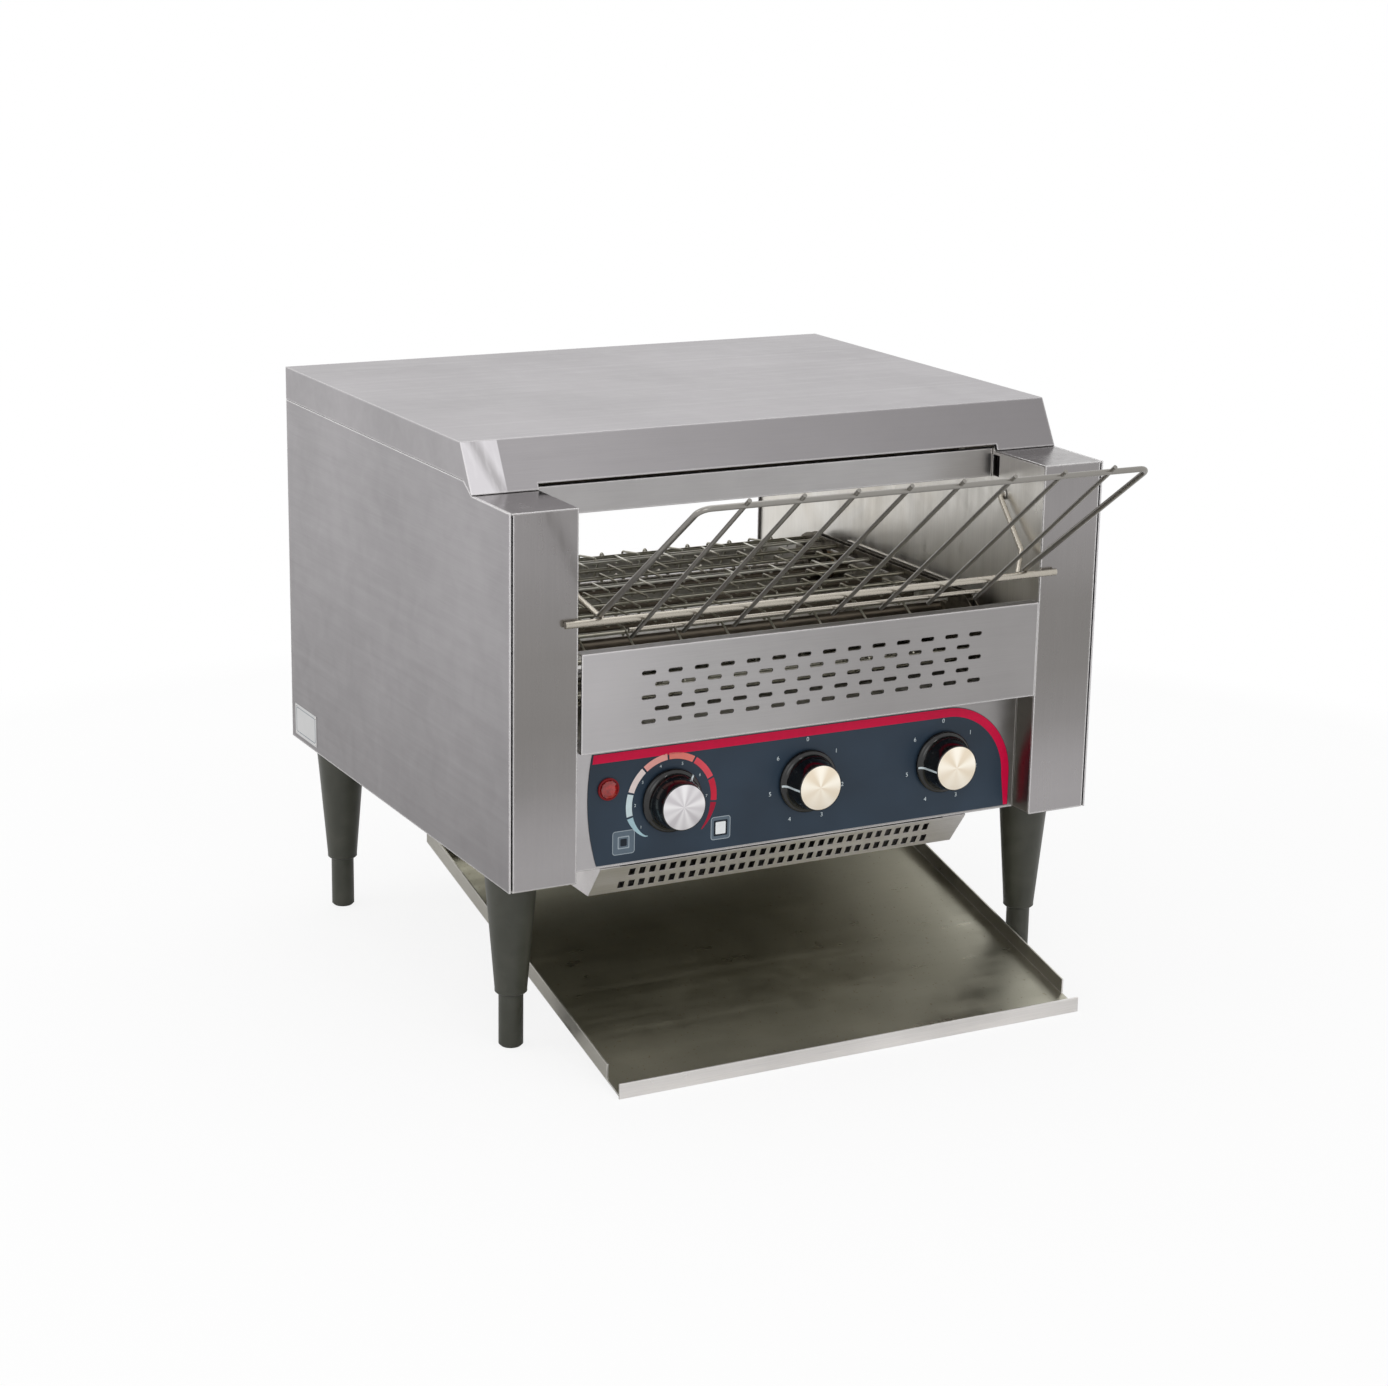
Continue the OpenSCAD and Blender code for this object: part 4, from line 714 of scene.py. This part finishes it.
def speed_scale(x, z):
    """Eight segments round the speed knob, from pale blue to dark red, thin at both ends."""
    inks = ["#a9c8d2", "#d3e4e8", "#ecdcd8", "#f0aaa1", "#ee8579", "#e6525f", "#cf233f", "#a81535"]
    bounds = [232.4, 192.9, 163.0, 129.8, 95.2, 58.4, 23.5, -6.9, -45.8]     # degrees
    mid, width, gap, steps = 33.3 * MM, 4.6 * MM, 2.6, 12        # gap in degrees
    tips = {0: (29.3 * MM, 0.0), len(inks) - 1: (33.6 * MM, 1.0)}    # radius, and which end it is
    tip_share = 0.16                             # width left at a tip
    for k, code in enumerate(inks):
        start, end = bounds[k] - gap / 2, bounds[k + 1] + gap / 2
        line_out, line_in = [], []
        for i in range(steps + 1):
            t = i / steps
            turn = math.radians(start + (end - start) * t)
            radius, half = mid, width / 2
            if k in tips:
                tip_radius, tip_end = tips[k]
                to_tip = abs(tip_end - t)        # 0 at the tip, 1 where it is full
                radius = tip_radius + (mid - tip_radius) * math.sqrt(to_tip)
                half *= tip_share + (1 - tip_share) * to_tip
            for line, r in ((line_out, radius + half), (line_in, radius - half)):
                line.append((r * math.cos(turn), r * math.sin(turn)))
        form = band(Form(), line_out, line_in, 0.0, PRINT, facing_front(x, z))
        shade = ink(f"ink_scale_{k}", code)
        form.piece(f"speed_scale_{k}", "casing", "overlay", shade, smooth=False)


def browning_icon(name, x, z, size, marks):
    """A grey plate with a thin light outline, and square marks of (width, height, ink) on it."""
    corner, mark_corner, line_w = 2.2 * MM, 0.7 * MM, 0.5 * MM
    flat = 0.4 * PRINT                           # the marks and the outline lie on the plate
    place = facing_front(x, z)
    form = slab(Form(), box_outline(*size, corner), 0.0, flat, place)
    form.piece(f"{name}_plate", "casing", "overlay", ink_grey, smooth=False)
    form = border(Form(), *size, corner, line_w, flat, PRINT, place)
    form.piece(f"{name}_outline", "casing", "overlay", ink_line, smooth=False)
    for k, (mark_w, mark_h, mark_ink) in enumerate(marks):
        outline = box_outline(mark_w, mark_h, mark_corner)
        form = slab(Form(), outline, flat, (0.7 + 0.2 * k) * PRINT, place)
        form.piece(f"{name}_mark_{k}", "casing", "overlay", mark_ink, smooth=False)


# ---- knobs and lamp

def knob(name, body, pointer_angle, pointer_from, *cap_finish):
    """A flared knob with a spun cap, and a white pointer that starts at a point of its outline."""
    low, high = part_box(name)
    x, z = (low[0] + high[0]) / 2, (low[2] + high[2]) / 2
    depth = high[1] - low[1]                     # back of the skirt to the cap
    skirt, cap = (high[0] - low[0]) / 2, 16.2 * MM
    waist, rim = 18.6 * MM, 17.2 * MM            # radii where the flare ends, and of the grip's end
    flare_w, flare_h, flare_from, flare_steps = skirt - 0.9 * MM - waist, 5.0 * MM, 3.2 * MM, 8
    place = facing_front(x, z, high[1])
    outline = [(skirt - 0.5 * MM, 0.0), (skirt, 0.5 * MM), (skirt, 2.2 * MM),
               (skirt - 0.6 * MM, 3.0 * MM)]
    for k in range(flare_steps + 1):
        t = math.pi / 2 * k / flare_steps
        outline.append((waist + flare_w * (1 - math.sin(t)),
                        flare_from + flare_h * (1 - math.cos(t))))
    outline += [(rim, depth - 1.4 * MM), (rim - 0.3 * MM, depth - 0.5 * MM),
                (rim - 0.9 * MM, depth - 0.1 * MM), (cap + 0.1 * MM, depth - 0.2 * MM)]
    shell = lathe(Form(), outline, place, 96).piece(
        f"{name}_moulding", body, "knob_black", knob_plastic)
    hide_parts(name)
    cap_profile = [(cap, depth - 0.6 * MM), (cap, depth - 0.15 * MM), (cap - 0.4 * MM, depth),
                   (0.5 * MM, depth)]
    lathe(Form(), cap_profile, place, 96).piece(
        f"{name}_cap", body, "bright_metal", spun_metal((x, low[1], z), *cap_finish))
    half_w, proud, back, down = 0.75 * MM, 0.06 * MM, 0.3 * MM, 0.1 * MM     # of the pointer
    line = [(r + proud, h + proud) for r, h in outline[pointer_from:-2]]
    points, faces = [], []
    for r, h in line:
        points += [(r, -half_w, h), (r, half_w, h),
                   (r - back, half_w, h - down), (r - back, -half_w, h - down)]
    for k in range(len(line) - 1):
        a, b = 4 * k, 4 * k + 4
        faces += [(a + i, a + (i + 1) % 4, b + (i + 1) % 4, b + i) for i in range(4)]
    faces += [(3, 2, 1, 0), tuple(4 * (len(line) - 1) + i for i in range(4))]
    turn = place @ Matrix.Rotation(math.radians(pointer_angle), 4, "Z")
    Form().add(points, faces, turn).piece(f"{name}_pointer", body, "knob_black", ink_white)


def lamp():
    """A faceted lens in a thin bezel, both given as shares of the lens' radius and depth."""
    low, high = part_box("lamp_lens")
    x, z, r = (low[0] + high[0]) / 2, (low[2] + high[2]) / 2, (high[0] - low[0]) / 2
    depth = high[1] - low[1]
    place = facing_front(x, z, high[1])
    bezel = [(1.0, 0.0), (1.0, 0.35), (0.86, 0.4), (0.84, 0.3)]
    facets = [(0.84, 0.2), (0.8, 0.6), (0.52, 0.86), (0.2, 1.0)]
    form = lathe(Form(), [(a * r, b * depth) for a, b in bezel], place, 48)
    form.piece("lamp_bezel", "casing", "lamp_red", ink("lamp_bezel_red", "#7d1118"))
    form = lathe(Form(), [(a * r, b * depth) for a, b in facets], place, 10)
    lens = form.piece("lamp_facets", "casing", "lamp_red", lamp_red, smooth=False)
    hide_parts("lamp_lens")


speed = middle("speed_knob")
overlay_print()
speed_scale(speed[0] + 0.5 * MM, BASE_Z + 41.7 * MM)
dial("speed", speed[0], speed[2] - 1.5 * MM, 28.0 * MM,
     [(k + 1, 214 - 35.5 * k) for k in range(8)], 3.0 * MM)
for side in ("upper", "lower"):
    at = middle(f"{side}_knob")
    dial(side, at[0], at[2], 30.5 * MM, [(k, 90 - 360 * k / 7) for k in range(7)], 4.4 * MM)
ink_dark = ink("ink_dark", "#1b232c")
ink_bright = ink("ink_bright", "#eef1f2")
browning_icon("light_icon", -138.6 * MM, BASE_Z + 16.8 * MM, (17.3 * MM, 17.3 * MM),
              [(9 * MM, 9 * MM, ink_line), (7.6 * MM, 7.6 * MM, ink_grey),
               (5 * MM, 5.4 * MM, ink_dark)])
browning_icon("dark_icon", -62.2 * MM, BASE_Z + 17.1 * MM, (15.6 * MM, 17 * MM),
              [(11 * MM, 11.6 * MM, ink_dark), (8 * MM, 9 * MM, ink_bright)])
knob("speed_knob", "speed_control", 47, 1, "cap_grey", "#eceaeb", "#c9c5c8", 9.0, 0.3)
knob("upper_knob", "upper_control", 182, 3, "cap_cream_a", "#fff8ea", "#eadcc6", 5.0, 0.34)
knob("lower_knob", "lower_control", 184, 3, "cap_cream_b", "#fff8ea", "#eadcc6", 5.0, 0.34)
lamp()


# ---- rack, belt and small parts

ROD_R = 1.6 * MM
RACK_WIRE_R = 2.0 * MM


def rack_arms():
    """The rack's two hook arms: one bent wire each, from the rest bar to the pivot in the wall."""
    low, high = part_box("rack_arms")
    collar_r, stub = 1.6 * RACK_WIRE_R, 5 * MM
    start_y, bar_z = low[1] + RACK_WIRE_R, low[2] + RACK_WIRE_R
    pivot_y, pivot_z = high[1] - collar_r, high[2] - collar_r
    foot_x, arm_x = 166 * MM, INNER_X - RACK_WIRE_R - 2 * MM
    knee_in, knee_share = 3 * MM, 0.28           # the knee: in from the arm, and on to the pivot
    washer_bore, washer_r, washer_half, washer_in = 2.1 * MM, 4.4 * MM, 0.5 * MM, 1.2 * MM
    form, collars = Form(), Form()
    for side in (-1, 1):
        foot = (side * foot_x, start_y, bar_z)
        knee = (side * (arm_x - knee_in), start_y + (pivot_y - start_y) * knee_share,
                bar_z + (pivot_z - bar_z) * knee_share)
        eye = (side * arm_x, pivot_y, pivot_z)
        pin = (side * (WALL_X + stub), pivot_y, pivot_z)
        sweep(form, bent([foot, knee, eye, pin], 4 * MM, 8), RACK_WIRE_R, 14)
        turn = facing_side(side * (INNER_X - washer_in), pivot_y, pivot_z)
        ring(collars, washer_bore, washer_r, -washer_half, washer_half, turn, 24)
    arms_piece = form.piece("rack_hook_arms", "loading_rack", "chrome_wire", rest_plating)
    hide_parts("rack_arms")
    collars.piece("rack_collars", "loading_rack", "bright_metal", bright_metal)


def weld_beads():
    """Spot welds where the rack's wires cross its bars."""
    slope, count, pitch = math.radians(35.4), 8, 39.5 * MM
    side_bar, to_lower_bar, tip = 173 * MM, 17.5 * MM, 1.7 * MM
    rest_r, thin_r, sunk, seat = 2.5 * MM, 1.5 * MM, 0.15 * MM, 0.9
    rest_gap, rest_h = 0.3 * MM, 183.5 * MM      # the rest bar's, to the pillars and above the base
    corner_x, foot_x, behind = 170 * MM, 167 * MM, 0.8 * MM
    rise = rest_r + thin_r - sunk
    wire_slope = slope + math.atan(2 * rise / side_bar)      # the wires pass under the rest bar
    rest = Vector((0, FRONT_Y - rest_r - rest_gap, BASE_Z + rest_h))
    out = Vector((0, math.sin(slope), math.cos(slope)))
    top = rest + out * rise - Vector((0, math.cos(slope), -math.sin(slope))) * side_bar
    along_wire = Vector((0, math.cos(wire_slope), -math.sin(wire_slope)))
    out_wire = Vector((0, math.sin(wire_slope), math.cos(wire_slope)))
    spots = [rest - out_wire * rest_r * seat, top + along_wire * tip,
             top + along_wire * (side_bar + to_lower_bar) + out_wire * thin_r * seat]
    form = Form()
    for i in range(count):
        across = Vector(((i - (count - 1) / 2) * pitch, 0, 0))
        for spot in spots:
            blob(form, spot + across, (1.9 * MM, 1.5 * MM, 1.1 * MM))
    for side in (-1, 1):
        blob(form, rest + out * rest_r + Vector((side * corner_x, 0, 0)),
             (2.4 * MM, 1.8 * MM, 1.5 * MM))
        blob(form, rest + Vector((side * foot_x, rest_r + behind, 0)),
             (2.2 * MM, 1.5 * MM, 1.6 * MM))
    form.piece("rack_welds", "loading_rack", "chrome_wire", rack_plating)


def belt_clips():
    """Bent wires that tie each rod, on every second pin, to the next, in staggered rows."""
    low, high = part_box("belt_rods")
    pitch, links, arc_links = 12.7 * MM, 17, 6
    loop_r = (high[2] - low[2]) / 2 - ROD_R
    shaft_z = (high[2] + low[2]) / 2
    front_y = low[1] + ROD_R + loop_r
    drive_y = front_y + links * pitch
    total = 2 * (links + arc_links)

    def place(k):
        """The belt's middle at chain pin k, and the way out of the loop there."""
        lower, k = divmod(k % total, links + arc_links)      # the lower run ends in the front arc
        a = math.pi * (lower + max(0, k - links) / arc_links)
        out = Vector((0, math.sin(a), math.cos(a)))
        gone = min(k, links) * pitch
        y = drive_y - gone if lower else front_y + gone
        return Vector((0, y, shaft_z)) + out * loop_r, out

    clip_r, spacing, reach = 0.9 * MM, 38 * MM, 146 * MM
    off = ROD_R + clip_r
    form = Form()
    for step in range(0, total, 2):
        (a, out_a), (b, out_b) = place(step), place(step + 2)
        along = (b - a).normalized()
        out = (out_a + out_b).normalized()
        count = int(2 * reach / spacing)
        shift = spacing / 2 if step % 4 else 0.0
        for i in range(count + 1):
            x = Vector((-reach + i * spacing + shift, 0, 0))
            if x[0] > reach:
                continue
            corners = [a + (along - out) * off, a - (along + out) * off, a + (out - along) * off,
                       b + (along + out) * off, b + (along - out) * off, b - (along + out) * off]
            sweep(form, bent([c + x for c in corners], 0.9 * off, 3), clip_r, 6)
    form.piece("belt_clips", "casing", "belt_wire", belt_metal)


def screw_heads():
    """Pan heads with a cross recess on the rear panel's screws."""
    low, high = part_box("cover_screws")
    head_r, head_h, shank_r, shank = 3.6 * MM, 2 * MM, 2.0 * MM, 6.2 * MM
    cross_r, cross_half, cross_depth = 0.56 * head_r, 0.45 * MM, 0.5 * head_h
    steps, rings, edge_share = 40, 14, 0.92      # edge_share: how far the dome runs out to its edge
    circle = [(math.cos(a), math.sin(a)) for a in [2 * math.pi * k / steps for k in range(steps)]]
    points, faces = [(0.0, 0.0, 0.45 * head_h)], []          # the middle of the cross
    for i in range(1, rings + 1):
        r, dome = head_r * i / rings, head_h * math.sqrt(1 - (edge_share * i / rings) ** 2)
        for x, y in [(r * c, r * s) for c, s in circle]:
            in_cross = r < cross_r and min(abs(x), abs(y)) < cross_half
            points.append((x, y, dome - (cross_depth if in_cross else 0.0)))
    points += [(head_r * c, head_r * s, 0.0) for c, s in circle]
    faces += [(0, 1 + k, 1 + (k + 1) % steps) for k in range(steps)]
    for i in range(rings):
        a, b = 1 + i * steps, 1 + (i + 1) * steps
        faces += [(a + k, b + k, b + (k + 1) % steps, a + (k + 1) % steps) for k in range(steps)]
    form = Form()
    for x in (low[0] + head_r, high[0] - head_r):
        for z in (low[2] + head_r, BASE_Z + (TOP_Z - BASE_Z) / 2, high[2] - head_r):
            place = facing_rear(x, high[1] - head_h, z)
            form.add(points, faces, place)
            lathe(form, [(shank_r, -shank), (shank_r, 0.0)], place, 20)
    heads = form.piece("screw_heads", "casing", "bright_metal", bright_metal)
    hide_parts("cover_screws")


def gland():
    """The cable gland: a hexagon against the panel and a ribbed dome nut with its bore."""
    low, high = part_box("cable_gland")
    x, z = (low[0] + high[0]) / 2, (low[2] + high[2]) / 2
    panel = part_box("rear_panel")[1][1]
    place = facing_rear(x, panel, z)
    out_r, bore_r, rib_r, groove_r, steps = (high[0] - low[0]) / 2, 4.5 * MM, 8.0 * MM, 7.5 * MM, 48
    hex_h, reach = 4 * MM, high[1] - panel
    dome_h, shoulder_h = reach - 3 * MM, reach - 1.2 * MM
    bore, hexagon, ribs = arc(bore_r, 0, 360, steps), [], []
    for k, (px, py) in enumerate(arc(1.0, 0, 360, steps)):
        turn = math.atan2(py, px) % (math.pi / 3) - math.pi / 6
        r = out_r * math.cos(math.pi / 6) / math.cos(turn)
        hexagon.append((r * px, r * py))
        r = rib_r if k % 4 in (1, 2) else groove_r
        ribs.append((r * px, r * py))
    form = Form()
    band(form, bore, hexagon, 0.0, hex_h, place)
    band(form, bore, ribs, hex_h, dome_h, place)
    for outer_r, start, end in ((7.2 * MM, dome_h, shoulder_h), (6.4 * MM, shoulder_h, reach),
                                (7.9 * MM, low[1] - panel, 0.0), (out_r, -5.2 * MM, -1.3 * MM)):
        ring(form, bore_r, outer_r, start, end, place, steps)
    nut = form.piece("gland_nut", "casing", "black_plastic", black_plastic)
    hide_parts("cable_gland")


def terminals():
    """A threaded stud and a washer on each element's end, and a nut on the longer studs, out in the
    side compartments.
    """
    stud_r, washer_r, nut_r = 2.0 * MM, 4.0 * MM, 3.4 * MM
    stud, short_stud, nut_from, nut_to = 9 * MM, 2 * MM, 1.4 * MM, 4.0 * MM
    washer_from, washer_to = 0.2 * MM, 0.9 * MM
    form = Form()
    for node, count, right_stud in (("upper_elements", 5, stud), ("lower_elements", 4, short_stud)):
        low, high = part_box(node)
        r = (high[2] - low[2]) / 2
        z = low[2] + r
        for k in range(count):
            y = low[1] + r + (high[1] - low[1] - 2 * r) * k / (count - 1)
            for side, x, reach in ((-1, low[0], stud), (1, high[0], right_stud)):
                place = facing_side(x, y, z, side)
                lathe(form, [(stud_r, 0.0), (stud_r, reach)], place, 16)
                ring(form, stud_r, washer_r, washer_from, washer_to, place, 24)
                if reach > nut_to:
                    slab(form, arc(nut_r, 0, 300, 5), nut_from, nut_to, place)
    form.piece("element_terminals", "casing", "bright_metal", bright_metal)


def plate_details():
    """A thin printed border and four rivets on the blank rating plate."""
    low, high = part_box("rating_plate")
    w, h = high[1] - low[1], high[2] - low[2]
    inset, line_w, corner, rivet_in = 2.5 * MM, 0.4 * MM, 1.5 * MM, 1.6 * MM
    place = Matrix.Translation((low[0], (low[1] + high[1]) / 2, (low[2] + high[2]) / 2)) \
        @ Matrix.Rotation(-math.pi / 2, 4, "Z") @ Matrix.Rotation(math.pi / 2, 4, "X")
    form = border(Form(), w - 2 * inset, h - 2 * inset, corner, line_w, 0.0, PRINT, place)
    form.piece("plate_border", "casing", "label_metal", ink_grey, smooth=False)
    form = Form()
    for sy in (-1, 1):
        for sz in (-1, 1):
            at = Matrix.Translation((sy * (w / 2 - rivet_in), sz * (h / 2 - rivet_in), 0))
            lathe(form, [(1.1 * MM, 0.0), (1.0 * MM, 0.3 * MM), (0.5 * MM, 0.5 * MM)],
                  place @ at, 20)
    form.piece("plate_rivets", "casing", "bright_metal", bright_metal)


rack_arms()
weld_beads()
belt_clips()
screw_heads()
gland()
terminals()
plate_details()


# ---- stage, light and camera

def stage():
    """A pale floor that keeps the shadow, and a white world."""
    reach, white_from, white_to = 12.0, 0.42, 1.0      # the floor turns white between these
    near_share = 0.84                                  # how white it is under the part
    world_light = 0.78                                 # strength where the world isn't seen
    floor = bpy.data.meshes.new("floor")
    corners = [(x * reach, y * reach, 0) for x, y in ((-1, -1), (1, -1), (1, 1), (-1, 1))]
    floor.from_pydata(corners, [], [(0, 1, 2, 3)])
    sheet = placed("floor", floor)
    f = Finish("floor_paint", roughness=0.9, Specular_IOR_Level=0.1)
    cloud = f.noise(1.5, 2.0)
    pale = f.mixed(f.ranged(cloud, 0.0, 1.0), (0.87, 0.87, 0.87, 1), (0.89, 0.89, 0.89, 1))
    f.link(pale, "Base Color")
    away = f.node("ShaderNodeVectorMath", {0: f.space}, operation="LENGTH").outputs["Value"]
    near = f.times(f.node("ShaderNodeLightPath").outputs["Is Camera Ray"], near_share)
    white = f.maths("MAXIMUM", f.ranged(away, 0.0, 1.0, white_from, white_to), near)
    glow = f.node("ShaderNodeEmission", {"Color": (1, 1, 1, 1), "Strength": 1.0})
    blend = f.node("ShaderNodeMixShader", {0: f.times(white, f.seen())})
    f.tree.links.new(f.shader.outputs[0], blend.inputs[1])
    f.tree.links.new(glow.outputs[0], blend.inputs[2])
    f.tree.links.new(blend.outputs[0], f.tree.nodes["Material Output"].inputs["Surface"])
    floor.materials.append(f.material)

    world = bpy.data.worlds.new("studio")
    bpy.context.scene.world = world
    w = Nodes(world)
    background = world.node_tree.nodes["Background"]
    background.inputs["Color"].default_value = (1, 1, 1, 1)
    w.tree.links.new(w.ranged(w.seen(), world_light, 1.0), background.inputs["Strength"])


def lamp_panel(name, place, aim, size, power):
    """A soft rectangular lamp that points at a spot."""
    light = bpy.data.lights.new(name, "AREA")
    light.shape, light.size, light.size_y, light.energy = "RECTANGLE", size[0], size[1], power
    holder = placed(name, light)
    holder.location = place
    holder.rotation_euler = (Vector(aim) - Vector(place)).to_track_quat("-Z", "Y").to_euler()


def camera():
    """The photograph's viewing angle, fitted to the body's corners."""
    image_w, focal_px = 1388.0, 2925.908
    azimuth, elevation, roll = math.radians(-28.032), math.radians(15.531), math.radians(1.041)
    pillar_face = -209 * MM          # the pillar faces in the fit's own frame
    place = Vector((-1.002985, -1.911098 + FRONT_Y - pillar_face, 0.790991))
    back = Vector((math.sin(azimuth) * math.cos(elevation),
                   -math.cos(azimuth) * math.cos(elevation), math.sin(elevation)))
    level = Vector((0, 0, 1)).cross(back).normalized()
    upright = back.cross(level)
    right = math.cos(roll) * level + math.sin(roll) * upright
    up = math.cos(roll) * upright - math.sin(roll) * level
    lens = bpy.data.cameras.new("camera")
    lens.sensor_width = 36.0
    lens.lens = focal_px / image_w * lens.sensor_width
    lens.clip_start, lens.clip_end = 0.05, 60.0
    holder = placed("camera", lens)
    turn = Matrix((right, up, back)).transposed()
    holder.matrix_world = Matrix.Translation(place) @ turn.to_4x4()
    bpy.context.scene.camera = holder


stage()
lamp_panel("lamp_over", (0.2, 0.7, 2.0), (0, 0.05, 0.3), (1.8, 1.8), 9)
lamp_panel("lamp_left", (-2.2, 0.6, 1.7), (-0.1, 0.0, 0.25), (1.4, 1.4), 8)
lamp_panel("lamp_front", (-1.3, -2.3, 1.3), (0.0, 0.0, 0.25), (1.4, 1.4), 9)
lamp_panel("lamp_glint", (0.0, -1.5, 2.27), (0.0, -0.1, 0.2), (0.3, 0.3), 2.5)
camera()
bpy.context.scene.view_settings.view_transform = "Standard"
